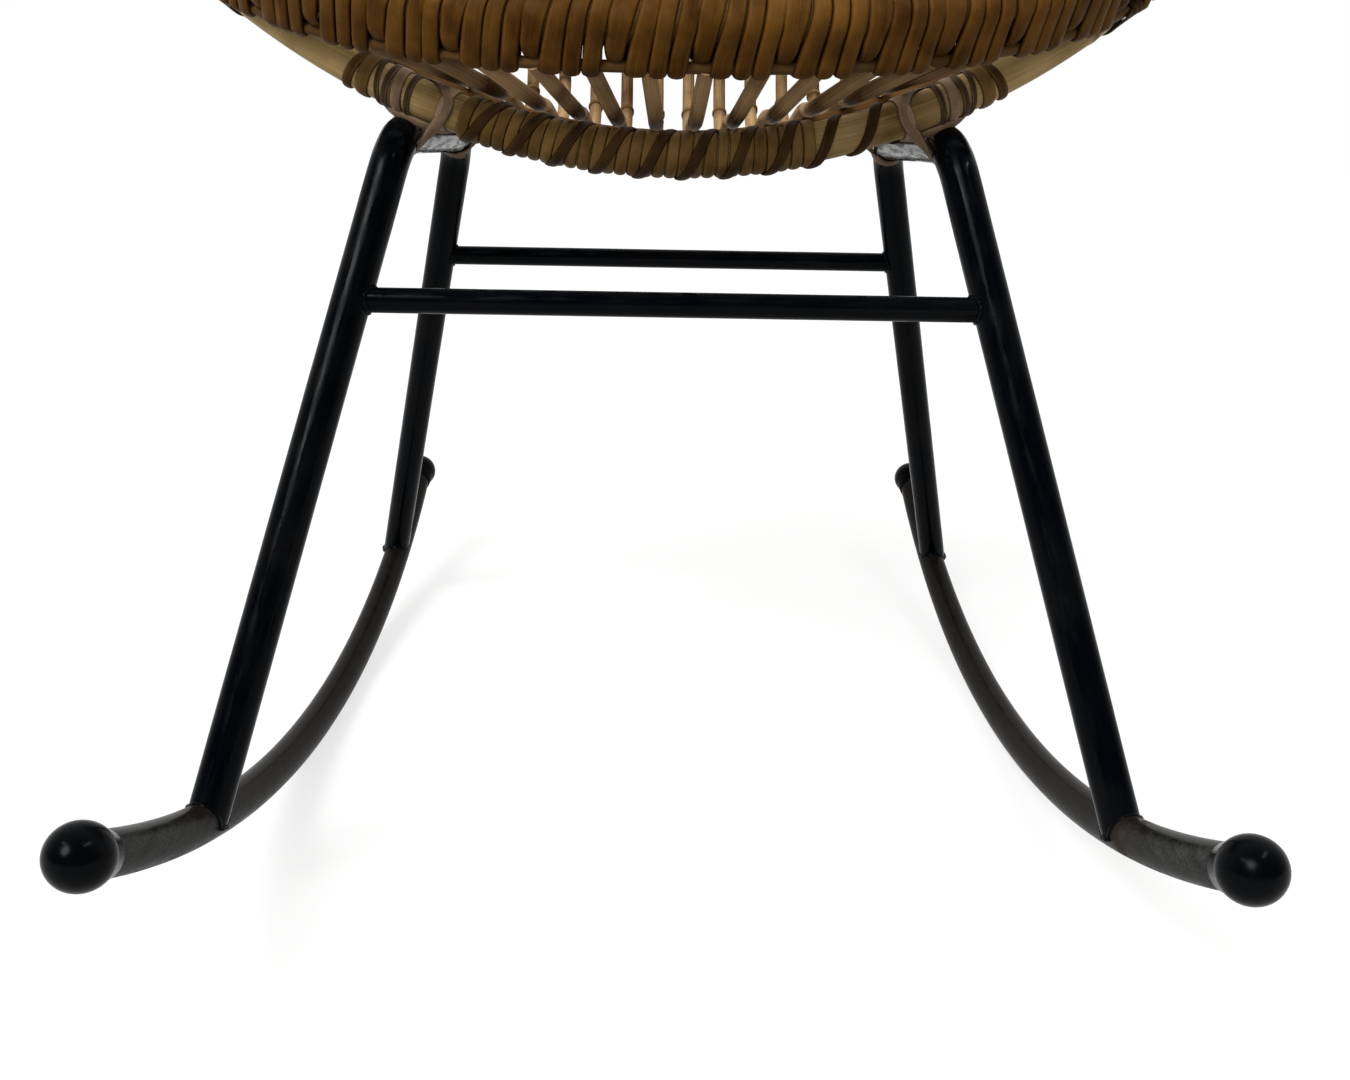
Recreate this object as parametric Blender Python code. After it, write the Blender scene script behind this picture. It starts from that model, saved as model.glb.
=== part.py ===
"""Rattan rocking chair: a cane-bound rattan shell lashed to a rocking frame of black steel tube.

Metres, +Z up. The sitter faces -Y, and X = 0 is the plane of symmetry. The origin is on the floor,
under the middle of the chair's length.
"""

import math

import bmesh
import bpy
import numpy as np

for leftover in list(bpy.data.objects):
    bpy.data.objects.remove(leftover, do_unlink=True)

# Gap kept between pieces that touch, and the steps in which curves are measured.
CLEARANCE = 0.0003
TURN_STEP = 0.01
LOOP_SAMPLES = 2000
MEETING_SAMPLES = 400
MEETING_ROUNDS = 12
LINE_SAMPLES = 40
SMOOTH_ANGLE = math.radians(50)

# Steel frame: two rockers, two bent leg tubes, two stretchers, four end caps.
TUBE_DIAMETER = 0.020
TUBE_WALL = 0.0015
TUBE_SIDES = 10
STRETCHER_DIAMETER = 0.013
STRETCHER_WALL = 0.0012
STRETCHER_SIDES = 8
STRETCHER_HEIGHT = 0.289
ROCKER_RADIUS = 0.84
ROCKER_MIDDLE = 0.020
ROCKER_FRONT_REACH = 0.407
ROCKER_REAR_REACH = 0.347
ROCKER_REST_FLAT = 0.036
ROCKER_STEPS = 11
ROCKER_HALF_SPAN = 0.221
FOOT_REACH = 0.244
LEG_COPE = 0.004
LEG_BEND_RADIUS = 0.032
LEG_BEND_STEPS = 5
RAIL_HEIGHT = 0.369
RAIL_HALF_SPAN = 0.1415
RAIL_CORNER = 0.107
CAP_BALL_DIAMETER = 0.0275
CAP_SKIRT_WALL = 0.0011
CAP_SOCKET_DEPTH = 0.016
CAP_SIDES = 12
CAP_BALL_STEPS = 6

# Seat hoop: one closed rattan pole, low at the front and back, raised at the sides.
HOOP_DIAMETER = 0.020
HOOP_HALF_WIDTH = 0.25
HOOP_HALF_DEPTH = 0.108
HOOP_SQUARENESS = 0.75
HOOP_RISE = 0.093
HOOP_STEPS = 48
POLE_SIDES = 8

# Rim: an upper pole and a lower pole that run round the shell together.
RIM_UPPER_DIAMETER = 0.023
RIM_LOWER_DIAMETER = 0.006
RIM_POLE_SPACING = 0.0200
RIM_OVERHANG = 0.06
RIM_BACK = 0.345
RIM_BACK_HEIGHT = 0.715
RIM_SWEEP = 1.23
RIM_STEPS = 60
RIM_MEETS_HOOP = math.radians(66)

# Rods that line the seat, the back and the sides.
ROD_DIAMETER = 0.008
ROD_SIDES = 6
ROD_SEAT_PITCH = 0.0216
ROD_FRONT_PITCH = 0.0274
ROD_BACK_PITCH = 0.0256
FRONT_RODS_EACH_SIDE = 6
FLANK_RODS_EACH_SIDE = 3
FLANK_ROD_INSET = 0.0405
ROD_BACK_BULGE = 0.040
SEAT_ROD_STEPS = (1, 2, 2, 3, 3)
FLANK_ROD_STEPS = (2, 2, 3, 3)
CUT_END_SHARE = 0.6
ARM_RODS_EACH_SIDE = 4
ARM_ROD_HOOP_START = math.radians(93)
ARM_ROD_FLANK_SPACING = 0.0153
ARM_ROD_RIM_START = math.radians(78)
ARM_ROD_RIM_END = math.radians(117)
ARM_ROD_STUB = 0.008
ARM_ROD_STEPS = (1, 5)
BEARER_DIAMETER = 0.012
BEARER_STEPS = 18
WEAVER_DIAMETER = 0.006
WEAVER_OVERHANG = 0.014

# Cane tape that binds the poles and lashes the shell to the frame.
TAPE_WIDTH = 0.0070
TAPE_THICKNESS = 0.0016
TAPE_POINTS = 10
LASHING_TURNS = 3
LASHING_PITCH = 0.0082
LASHING_WIDTH = 0.0054
LASHING_REACH = 0.05
LASHING_POINTS = 16
LASHING_BRIDGE_POINTS = 3
RAIL_LASHING_SLACK = 0.0019
RIM_LASHING_SLACK = 0.0006
RIM_BINDING_SLACK = 0.0003
RAIL_LASHING_OUTSET = 0.0025
HOOP_BINDING_TURNS = 14
HOOP_BINDING_LEFT = 0.108
HOOP_BINDING_RIGHT = 0.070
RIM_FRONT_TURNS = 15
RIM_SIDE_TURNS = 6
RIM_BACK_TURNS = 8
RIM_FRONT_ARC = math.radians(40)
RIM_SIDE_ARC = (math.radians(72), math.radians(118))
RIM_BACK_ARC = math.radians(124)

TUBE_RADIUS = TUBE_DIAMETER / 2
HOOP_RADIUS = HOOP_DIAMETER / 2
RIM_UPPER_RADIUS = RIM_UPPER_DIAMETER / 2
RIM_LOWER_RADIUS = RIM_LOWER_DIAMETER / 2
ROD_RADIUS = ROD_DIAMETER / 2
RIM_HALF_WIDTH = HOOP_HALF_WIDTH + RIM_OVERHANG
UP = np.array([0.0, 0.0, 1.0])
ACROSS = np.array([1.0, 0.0, 0.0])


def finish(name, colour, roughness):
    """A plain material of one colour."""
    material = bpy.data.materials.new(name)
    material.use_nodes = True
    shader = material.node_tree.nodes["Principled BSDF"]
    shader.inputs["Base Color"].default_value = (*colour, 1.0)
    shader.inputs["Roughness"].default_value = roughness
    shader.inputs["Metallic"].default_value = 0.0
    return material


BLACK_ENAMEL = finish("black_enamel", (0.012, 0.012, 0.014), 0.28)
BLACK_CAP = finish("black_cap", (0.010, 0.010, 0.011), 0.18)
POLE_RATTAN = finish("pole_rattan", (0.36, 0.23, 0.10), 0.45)
ROD_RATTAN = finish("rod_rattan", (0.30, 0.17, 0.075), 0.5)
CANE_TAPE = finish("cane_tape", (0.33, 0.19, 0.085), 0.42)
DARK_CANE = finish("dark_cane", (0.12, 0.055, 0.025), 0.45)

chair = bpy.data.objects.new("chair", None)
bpy.context.scene.collection.objects.link(chair)


def piece(name, vertices, faces, material):
    """A closed mesh as one named object under the chair's empty."""
    mesh = bpy.data.meshes.new(name)
    mesh.from_pydata([tuple(point) for point in vertices], [], faces)
    shape = bmesh.new()
    shape.from_mesh(mesh)
    bmesh.ops.recalc_face_normals(shape, faces=shape.faces)
    shape.to_mesh(mesh)
    shape.free()
    mesh.materials.append(material)
    mesh.shade_smooth()
    mesh.set_sharp_from_angle(angle=SMOOTH_ANGLE)
    made = bpy.data.objects.new(name, mesh)
    made.parent = chair
    bpy.context.scene.collection.objects.link(made)
    return made


def unit(vectors):
    """Vectors scaled to length one."""
    return vectors / np.linalg.norm(vectors, axis=-1, keepdims=True)


def frames(points, side, closed=False):
    """Tangent, sideways and upward unit vectors at each point of a path."""
    if closed:
        tangents = np.roll(points, -1, axis=0) - np.roll(points, 1, axis=0)
    else:
        tangents = np.gradient(points, axis=0)
    tangents = unit(tangents)
    side = np.broadcast_to(side, points.shape)
    sideways = unit(side - (side * tangents).sum(axis=1, keepdims=True) * tangents)
    return tangents, sideways, np.cross(tangents, sideways)


def round_rings(points, side, radius, sides, closed=False):
    """A ring of points round each point of a path, with a flat facing along the upward vector."""
    _, sideways, upward = frames(points, side, closed)
    angles = math.pi / 2 + (np.arange(sides) + 0.5) * 2 * math.pi / sides
    across = np.cos(angles)[None, :, None] * sideways[:, None, :]
    along = np.sin(angles)[None, :, None] * upward[:, None, :]
    return points[:, None, :] + radius * (across + along)


def skin(rings, closed=False):
    """Vertices and faces of a surface through rings of equal count, with capped ends unless closed."""
    count, sides = rings.shape[:2]
    faces = []
    for ring in range(count if closed else count - 1):
        here = ring * sides
        there = (ring + 1) % count * sides
        for corner in range(sides):
            beside = (corner + 1) % sides
            faces.append((here + corner, here + beside, there + beside, there + corner))
    if not closed:
        faces.append(tuple(range(sides)))
        faces.append(tuple(range((count - 1) * sides, count * sides)))
    return rings.reshape(-1, 3), faces


def solid_pole(name, points, side, radius, sides, material, closed=False):
    """A solid round pole along a path."""
    vertices, faces = skin(round_rings(points, side, radius, sides, closed), closed)
    return piece(name, vertices, faces, material)


def hollow_tube(name, points, side, radius, wall, sides, material):
    """An open-ended round tube along a path."""
    outer = round_rings(points, side, radius, sides)
    inner = round_rings(points, side, radius - wall, sides)
    rings = np.concatenate([outer, inner[::-1]])
    vertices, faces = skin(rings, closed=True)
    return piece(name, vertices, faces, material)


def cutter(name, points, side, radius, sides):
    """A solid tube, left out of the model, that copes the end of a tube set against it."""
    tool = solid_pole(name, points, side, radius + CLEARANCE, sides, BLACK_ENAMEL)
    tool.hide_render = True
    tool.display_type = "WIRE"
    return tool


def cope(target, tool):
    """Cut a tube's end to the shape of the tube that it is welded to."""
    cut = target.modifiers.new("cope_" + tool.name, "BOOLEAN")
    cut.operation = "DIFFERENCE"
    cut.solver = "EXACT"
    cut.object = tool


def turned(name, profile, origin, axis, sides, material):
    """A turned solid: profile rows give radius and place along the axis, and both ends lie on the axis."""
    along = unit(np.asarray(axis, float))
    sideways = unit(np.cross(along, UP))
    upward = np.cross(sideways, along)
    angles = np.arange(sides) * 2 * math.pi / sides
    vertices = [origin + profile[0][1] * along]
    for radius, place in profile[1:-1]:
        for angle in angles:
            spoke = math.cos(angle) * sideways + math.sin(angle) * upward
            vertices.append(origin + place * along + radius * spoke)
    vertices.append(origin + profile[-1][1] * along)
    last = len(vertices) - 1
    faces = []
    for corner in range(sides):
        beside = (corner + 1) % sides
        faces.append((0, 1 + beside, 1 + corner))
        for ring in range(len(profile) - 3):
            here = 1 + ring * sides
            there = here + sides
            faces.append((here + corner, here + beside, there + beside, there + corner))
        faces.append((last - sides + corner, last - sides + beside, last))
    return piece(name, vertices, faces, material)


# The rockers stand upright, and each leg tube leans in from its rocker up to its rail.
rocker_low = TUBE_RADIUS * math.cos(math.pi / TUBE_SIDES)


def rocker_height(y):
    """Height of a rocker's centreline at a place along the chair."""
    return rocker_low + ROCKER_RADIUS - math.sqrt(ROCKER_RADIUS**2 - (y - ROCKER_MIDDLE) ** 2)


foot_height = (rocker_height(-FOOT_REACH) + rocker_height(FOOT_REACH)) / 2


def leg_span(height):
    """Distance of a leg tube from the plane of symmetry at a height."""
    share = (RAIL_HEIGHT - height) / (RAIL_HEIGHT - foot_height)
    return RAIL_HALF_SPAN + share * (ROCKER_HALF_SPAN - RAIL_HALF_SPAN)


def rocker_points(side):
    """Points along a rocker's arc on the left or right, with one level stretch at its lowest place."""
    flat = ROCKER_REST_FLAT / 2 / ROCKER_RADIUS
    front = -np.linspace(ROCKER_FRONT_REACH / ROCKER_RADIUS, flat, ROCKER_STEPS)
    rear = np.linspace(flat, ROCKER_REAR_REACH / ROCKER_RADIUS, ROCKER_STEPS)
    angles = np.concatenate([front, rear])
    along = ROCKER_MIDDLE + ROCKER_RADIUS * np.sin(angles)
    height = rocker_low + ROCKER_RADIUS * (math.cos(flat) - np.cos(angles))
    return np.stack([np.full_like(along, side * ROCKER_HALF_SPAN), along, height], axis=1)


def bend(before, corner, after, radius, steps):
    """Points of the arc that rounds a corner between two straight runs."""
    before, corner, after = (np.asarray(point, float) for point in (before, corner, after))
    arriving = unit(before - corner)
    leaving = unit(after - corner)
    half_angle = math.acos(np.clip(arriving @ leaving, -1, 1)) / 2
    centre = corner + unit(arriving + leaving) * radius / math.sin(half_angle)
    start = corner + arriving * radius / math.tan(half_angle) - centre
    end = corner + leaving * radius / math.tan(half_angle) - centre
    total = math.acos(np.clip(unit(start) @ unit(end), -1, 1))
    shares = np.linspace(0, 1, steps + 1)[:, None]
    return centre + (np.sin((1 - shares) * total) * start + np.sin(shares * total) * end) / math.sin(total)


def leg_points(side):
    """Points up the front leg, along the rail and down the rear leg of the left or right leg tube."""
    front_foot = np.array([-FOOT_REACH, rocker_height(-FOOT_REACH)])
    rear_foot = np.array([FOOT_REACH, rocker_height(FOOT_REACH)])
    front_corner = np.array([-RAIL_CORNER, RAIL_HEIGHT])
    rear_corner = np.array([RAIL_CORNER, RAIL_HEIGHT])
    front_start = front_foot + LEG_COPE * unit(front_corner - front_foot)
    rear_start = rear_foot + LEG_COPE * unit(rear_corner - rear_foot)
    front_bend = bend(front_start, front_corner, rear_corner, LEG_BEND_RADIUS, LEG_BEND_STEPS)
    rear_bend = bend(front_corner, rear_corner, rear_start, LEG_BEND_RADIUS, LEG_BEND_STEPS)
    flat = np.concatenate([[front_start], front_bend, rear_bend, [rear_start]])
    return np.array([(side * leg_span(z), y, z) for y, z in flat])


def cap_profile():
    """(radius, place from the tube's end) round a ball-shaped cap with a socket for the tube."""
    ball = CAP_BALL_DIAMETER / 2
    socket = (TUBE_RADIUS + CLEARANCE) / math.cos(math.pi / CAP_SIDES)
    mouth = socket + CAP_SKIRT_WALL
    profile = [(0.0, CLEARANCE), (socket, CLEARANCE)]
    profile += [(socket, -CAP_SOCKET_DEPTH), (mouth, -CAP_SOCKET_DEPTH)]
    start = math.asin(mouth / ball)
    for turn in np.linspace(math.pi - start, 0, CAP_BALL_STEPS + 1)[:-1]:
        profile.append((ball * math.sin(turn), ball * math.cos(turn)))
    profile.append((0.0, ball))
    return profile


leg_tools = {}
for side, hand in ((-1, "left"), (1, "right")):
    rocker = rocker_points(side)
    legs = leg_points(side)
    hollow_tube(f"{hand}_rocker", rocker, ACROSS, TUBE_RADIUS, TUBE_WALL, TUBE_SIDES, BLACK_ENAMEL)
    leg = hollow_tube(f"{hand}_leg_hoop", legs, ACROSS, TUBE_RADIUS, TUBE_WALL, TUBE_SIDES, BLACK_ENAMEL)
    cope(leg, cutter(f"{hand}_rocker_cope", rocker, ACROSS, TUBE_RADIUS, TUBE_SIDES))
    leg_tools[hand] = cutter(f"{hand}_leg_cope", legs, ACROSS, TUBE_RADIUS, TUBE_SIDES)
    ends = (("front", rocker[0], rocker[0] - rocker[1]), ("rear", rocker[-1], rocker[-1] - rocker[-2]))
    for end, tip, axis in ends:
        turned(f"{end}_{hand}_cap", cap_profile(), tip, axis, CAP_SIDES, BLACK_CAP)

for end, direction in (("front", -1), ("rear", 1)):
    foot = np.array([direction * FOOT_REACH, rocker_height(direction * FOOT_REACH)])
    corner = np.array([direction * RAIL_CORNER, RAIL_HEIGHT])
    share = (STRETCHER_HEIGHT - foot[1]) / (corner[1] - foot[1])
    y = foot[0] + share * (corner[0] - foot[0])
    reach = leg_span(STRETCHER_HEIGHT) - LEG_COPE
    ends = np.array([(-reach, y, STRETCHER_HEIGHT), (reach, y, STRETCHER_HEIGHT)])
    name = f"{end}_stretcher"
    bar = hollow_tube(name, ends, UP, STRETCHER_DIAMETER / 2, STRETCHER_WALL, STRETCHER_SIDES, BLACK_ENAMEL)
    for tool in leg_tools.values():
        cope(bar, tool)


# The seat hoop lies on the rails of both leg tubes.
rail_turn = math.asin(RAIL_HALF_SPAN / HOOP_HALF_WIDTH)
rail_slope = 2 * HOOP_RISE * math.sin(rail_turn) / HOOP_HALF_WIDTH
rail_seat = (TUBE_RADIUS + HOOP_RADIUS + CLEARANCE) * math.hypot(1, rail_slope)
hoop_low = RAIL_HEIGHT + rail_seat - HOOP_RISE * math.sin(rail_turn) ** 2


def hoop_point(turn):
    """A place on the seat hoop's centreline: turn 0 is the front and a half turn is the back."""
    turn = np.asarray(turn, float)
    lean = np.cos(turn)
    depth = -HOOP_HALF_DEPTH * np.sign(lean) * np.abs(lean) ** HOOP_SQUARENESS
    height = hoop_low + HOOP_RISE * np.sin(turn) ** 2
    return np.stack([HOOP_HALF_WIDTH * np.sin(turn), depth, height], axis=-1)


def hoop_frame(turn):
    """Tangent, outward and upward unit vectors of the hoop at a turn."""
    tangent = unit(hoop_point(turn + TURN_STEP) - hoop_point(turn - TURN_STEP))
    outward = unit(np.cross(tangent, UP))
    return tangent, outward, np.cross(outward, tangent)


def even_loop(place, steps):
    """Corners spread evenly round a closed curve, their turns, and (turns, distances) of its flats' falls."""
    turns = np.linspace(0, 2 * math.pi, LOOP_SAMPLES + 1)
    run = np.concatenate([[0], np.cumsum(np.linalg.norm(np.diff(place(turns), axis=0), axis=1))])
    corners = np.interp(np.linspace(0, run[-1], steps + 1), run, turns)
    middles = (corners[1:] + corners[:-1]) / 2
    flats = (place(corners[1:]) + place(corners[:-1])) / 2
    return place(corners[:-1]), corners[:-1], (middles, np.linalg.norm(place(middles) - flats, axis=1))


def most_fall(falls, span):
    """The most that a closed pole's flats fall inside its curve between two turns."""
    turns, distances = falls
    reach = (span[1] - span[0]) / 2
    away = np.abs((turns - span[0] - reach + math.pi) % (2 * math.pi) - math.pi)
    return distances[away <= reach + turns[0] * 2].max()


hoop, hoop_turns, hoop_falls = even_loop(hoop_point, HOOP_STEPS)
solid_pole("seat_hoop", hoop, UP, HOOP_RADIUS, POLE_SIDES, POLE_RATTAN, closed=True)


# The rim touches the hoop near the front corners, which sets how low and how far forward its front lies.
rim_front = {}


def rim_share(turn):
    """How much of the rim's rise from front to back has been climbed at a turn."""
    return ((1 - np.cos(turn)) / 2) ** RIM_SWEEP


def rim_lower_point(turn):
    """A place on the lower rim pole's centreline: turn 0 is the front and a half turn is the back."""
    turn = np.asarray(turn, float)
    middle = (rim_front["y"] + RIM_BACK) / 2
    depth = (RIM_BACK - rim_front["y"]) / 2
    height = rim_front["z"] + (RIM_BACK_HEIGHT - rim_front["z"]) * rim_share(turn)
    return np.stack([RIM_HALF_WIDTH * np.sin(turn), middle - depth * np.cos(turn), height], axis=-1)


def rim_frame(turn):
    """Tangent, outward and upward unit vectors of the rim at a turn."""
    tangent = unit(rim_lower_point(turn + TURN_STEP) - rim_lower_point(turn - TURN_STEP))
    outward = unit(np.cross(tangent, UP))
    return tangent, outward, np.cross(outward, tangent)


def rim_upper_point(turn):
    """A place on the upper rim pole's centreline, above the lower pole and square to it."""
    return rim_lower_point(turn) + RIM_POLE_SPACING * rim_frame(turn)[2]


def rim_through(offset):
    """Set the rim's front so that the lower pole passes outside the hoop at this distance."""
    place = hoop_point(RIM_MEETS_HOOP) + offset * hoop_frame(RIM_MEETS_HOOP)[1]
    lean = math.sqrt(1 - (place[0] / RIM_HALF_WIDTH) ** 2)
    share = ((1 - lean) / 2) ** RIM_SWEEP
    rim_front["y"] = (place[1] - RIM_BACK * (1 - lean) / 2) * 2 / (1 + lean)
    rim_front["z"] = (place[2] - RIM_BACK_HEIGHT * share) / (1 - share)


touching = HOOP_RADIUS + RIM_LOWER_RADIUS + 2 * CLEARANCE
offset = touching
half_turn = np.linspace(0, math.pi, MEETING_SAMPLES)
near_hoop = hoop_point(half_turn)
for attempt in range(MEETING_ROUNDS):
    rim_through(offset)
    near_rim = rim_lower_point(half_turn)
    apart = np.linalg.norm(near_hoop[:, None] - near_rim[None], axis=2)
    offset += touching - apart.min()
closest = np.unravel_index(apart.argmin(), apart.shape)
meet_hoop, meet_rim = near_hoop[closest[0]], near_rim[closest[1]]
meet_along = unit(near_hoop[closest[0] + 1] - near_hoop[closest[0] - 1])

lower_rim, _, lower_falls = even_loop(rim_lower_point, RIM_STEPS)
upper_rim, _, upper_falls = even_loop(rim_upper_point, RIM_STEPS)
rim_fall = max(lower_falls[1].max(), upper_falls[1].max()) + RIM_BINDING_SLACK
solid_pole("rim_lower_pole", lower_rim, UP, RIM_LOWER_RADIUS, ROD_SIDES, POLE_RATTAN, closed=True)
solid_pole("rim_upper_pole", upper_rim, UP, RIM_UPPER_RADIUS, POLE_SIDES, POLE_RATTAN, closed=True)


# Rods run from the front rim, over the hoop and the bearer, and up the back to the rim.
def tape_seat(radius, points, slack):
    """How far off a pole the middle of a tape lies, so that its flats between points clear the pole."""
    return slack + CLEARANCE + radius * (1 / math.cos(math.pi / points) - 1) + TAPE_THICKNESS / 2


hoop_ends = (-HOOP_BINDING_LEFT, HOOP_BINDING_RIGHT)
hoop_span = [math.asin(end / HOOP_HALF_WIDTH) for end in hoop_ends]
hoop_fall = most_fall(hoop_falls, hoop_span)
tape_over_hoop = tape_seat(HOOP_RADIUS, TAPE_POINTS, hoop_fall) + TAPE_THICKNESS / 2
tape_over_rim = tape_seat(RIM_LOWER_RADIUS, TAPE_POINTS, rim_fall) + TAPE_THICKNESS / 2
rod_lift = HOOP_RADIUS + tape_over_hoop + ROD_RADIUS + 2 * CLEARANCE
hoop_flat = HOOP_RADIUS * math.cos(math.pi / POLE_SIDES)
rod_flat = ROD_RADIUS * math.cos(math.pi / ROD_SIDES)
bare_lift = hoop_flat + rod_flat + CLEARANCE
rim_end_gap = RIM_LOWER_RADIUS + tape_over_rim + 2 * CLEARANCE


def smooth(controls, steps):
    """A smooth curve that passes through each control point, with a number of steps in each span."""
    controls = np.asarray(controls, float)
    padded = np.concatenate([[2 * controls[0] - controls[1]], controls, [2 * controls[-1] - controls[-2]]])
    path = []
    for span in range(len(controls) - 1):
        before, start, end, after = padded[span : span + 4]
        for share in np.arange(steps[span]) / steps[span]:
            path.append(
                start
                + share * (end - before) / 2
                + share**2 * (before - 2.5 * start + 2 * end - after / 2)
                + share**3 * (1.5 * (start - end) + (after - before) / 2)
            )
    path.append(controls[-1])
    return np.array(path)


def hoop_top(turn):
    """Where a rod's centreline crosses the top of the hoop."""
    return hoop_point(turn) + rod_lift * hoop_frame(turn)[2]


def bare_hoop(turn):
    """The place at a turn on the straight runs between the hoop's corners."""
    return np.array([np.interp(turn, hoop_turns, line, period=2 * math.pi) for line in hoop.T])


def rim_end(turn, come_from):
    """Where a rod that comes from a place stops, just short of the lower rim pole and its binding."""
    pole = rim_lower_point(turn)
    arriving = unit(pole - come_from)
    slant = abs(arriving @ rim_frame(turn)[0])
    return pole - (rim_end_gap + ROD_RADIUS * slant) / math.sqrt(1 - slant**2) * arriving


def seat_height(x):
    """Height of a seat rod's centreline over the bearer, half way along the seat."""
    return hoop_low + HOOP_RISE * (x / HOOP_HALF_WIDTH) ** 2 + rod_lift


def back_middle(rear, top):
    """The place half way up the back, pushed out and down from the straight line."""
    return (rear + top) / 2 + ROD_BACK_BULGE * np.array([0, math.sqrt(0.5), -math.sqrt(0.5)])


outer_rod = HOOP_HALF_WIDTH - FLANK_ROD_INSET
rods = []
for side, hand in ((-1, "left"), (1, "right")):
    for count in range(1, FRONT_RODS_EACH_SIDE + 1):
        rods.append((f"seat_rod_{hand}_{count}", side * (count - 0.5), True))
    for count in range(1, FLANK_RODS_EACH_SIDE + 1):
        place = outer_rod / ROD_SEAT_PITCH + count - FLANK_RODS_EACH_SIDE
        rods.append((f"flank_rod_{hand}_{count}", side * place, False))
back_crossings = []
for name, place, from_rim in sorted(rods, key=lambda rod: rod[1]):
    x = place * ROD_SEAT_PITCH
    turn = math.asin(x / HOOP_HALF_WIDTH)
    rear = hoop_top(math.pi - turn)
    rim_turn = math.pi - math.asin(place * ROD_BACK_PITCH / RIM_HALF_WIDTH)
    back = back_middle(rear, rim_lower_point(rim_turn))
    top = rim_end(rim_turn, back)
    middle = np.array([x, 0, seat_height(x)])
    if from_rim:
        front = hoop_top(turn)
        start = rim_end(math.asin(place * ROD_FRONT_PITCH / RIM_HALF_WIDTH), front)
        path = smooth([start, front, middle, rear, back, top], SEAT_ROD_STEPS)
    else:
        inset = HOOP_RADIUS + CUT_END_SHARE * ROD_RADIUS + CLEARANCE
        start = hoop_point(turn) - inset * hoop_frame(turn)[1]
        path = smooth([start, middle, rear, back, top], FLANK_ROD_STEPS)
    solid_pole(name, path, ACROSS, ROD_RADIUS, ROD_SIDES, ROD_RATTAN)
    back_crossings.append((back, unit(top - rear)))

outer_turn = math.pi - math.asin(outer_rod / HOOP_HALF_WIDTH)
outer_pace = np.linalg.norm(hoop_point(outer_turn + TURN_STEP) - hoop_point(outer_turn)) / TURN_STEP
arm_rod_hoop_end = outer_turn - ARM_ROD_FLANK_SPACING / outer_pace
for side, hand in ((-1, "left"), (1, "right")):
    low_turns = np.linspace(ARM_ROD_HOOP_START, arm_rod_hoop_end, ARM_RODS_EACH_SIDE)
    high_turns = np.linspace(ARM_ROD_RIM_START, ARM_ROD_RIM_END, ARM_RODS_EACH_SIDE)
    for number, (low_turn, rim_turn) in enumerate(zip(low_turns, high_turns), 1):
        tangent, outward, upward = hoop_frame(side * low_turn)
        seat = bare_hoop(side * low_turn) + bare_lift * upward
        outward = outward if outward[0] * side > 0 else -outward
        controls = [seat - ARM_ROD_STUB * outward, seat, rim_end(side * rim_turn, seat)]
        path = smooth(controls, ARM_ROD_STEPS)
        solid_pole(f"arm_rod_{hand}_{number}", path, tangent, ROD_RADIUS, ROD_SIDES, ROD_RATTAN)

bearer_radius = BEARER_DIAMETER / 2
bearer_reach = HOOP_HALF_WIDTH - HOOP_RADIUS - CUT_END_SHARE * bearer_radius - CLEARANCE
bearer = []
for x in np.linspace(-bearer_reach, bearer_reach, BEARER_STEPS + 1):
    slope = 2 * HOOP_RISE * x / HOOP_HALF_WIDTH**2
    rod_reach = ROD_RADIUS * math.cos(math.pi / ROD_SIDES - math.atan(abs(slope)))
    bearer_drop = rod_reach + bearer_radius + 2 * CLEARANCE
    bearer.append((x, 0, seat_height(x) - bearer_drop * math.hypot(1, slope)))
bearer = np.array(bearer)
solid_pole("seat_bearer", bearer, np.array([0.0, 1.0, 0.0]), bearer_radius, ROD_SIDES, POLE_RATTAN)

weaver_offset = ROD_RADIUS + WEAVER_DIAMETER / 2 + 3 * CLEARANCE
for face, direction in (("inner", -1), ("outer", 1)):
    path = []
    for place, climb in back_crossings:
        outward = unit(np.array([0, climb[2], -climb[1]]))
        path.append(place + direction * weaver_offset * outward)
    path = np.array(path)
    start = path[0] + WEAVER_OVERHANG * unit(path[0] - path[1])
    end = path[-1] + WEAVER_OVERHANG * unit(path[-1] - path[-2])
    path = np.concatenate([[start], path, [end]])
    solid_pole(f"back_weaver_{face}", path, UP, WEAVER_DIAMETER / 2, ROD_SIDES, ROD_RATTAN)


# Cane tape wound round one or two poles, each winding one unbroken strip.
def outermost(facing, sections):
    """The section that reaches furthest in a direction, as its number, and that place on it.

    A section is its centre and a symmetric matrix whose quadratic form is the square of its reach.
    """
    reach = [centre @ facing + math.sqrt(facing @ form @ facing) for centre, form in sections]
    furthest = int(np.argmax(reach))
    centre, form = sections[furthest]
    return furthest, centre + form @ facing / math.sqrt(facing @ form @ facing)


def tape(name, stations, breadth, points, material):
    """One strip of cane through stations of (place, outward vector, vector along its width)."""
    places, outward, width = (np.array(column) for column in zip(*stations))
    corners = ((-1, -1), (1, -1), (1, 1), (-1, 1))
    rings = np.stack(
        [places + a * breadth / 2 * width + b * TAPE_THICKNESS / 2 * outward for a, b in corners], axis=1
    )
    vertices, faces = skin(rings)
    flat = rings.reshape(-1, 3)
    order = np.repeat(np.arange(len(rings)), len(corners))
    distance = np.linalg.norm(flat[:, None] - flat[None], axis=2)
    distance[np.abs(order[:, None] - order[None]) < points // 2] = np.inf
    print(f"{name}: least gap to itself {distance.min() * 1000:.2f} mm")
    return piece(name, vertices, faces, material)


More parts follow.
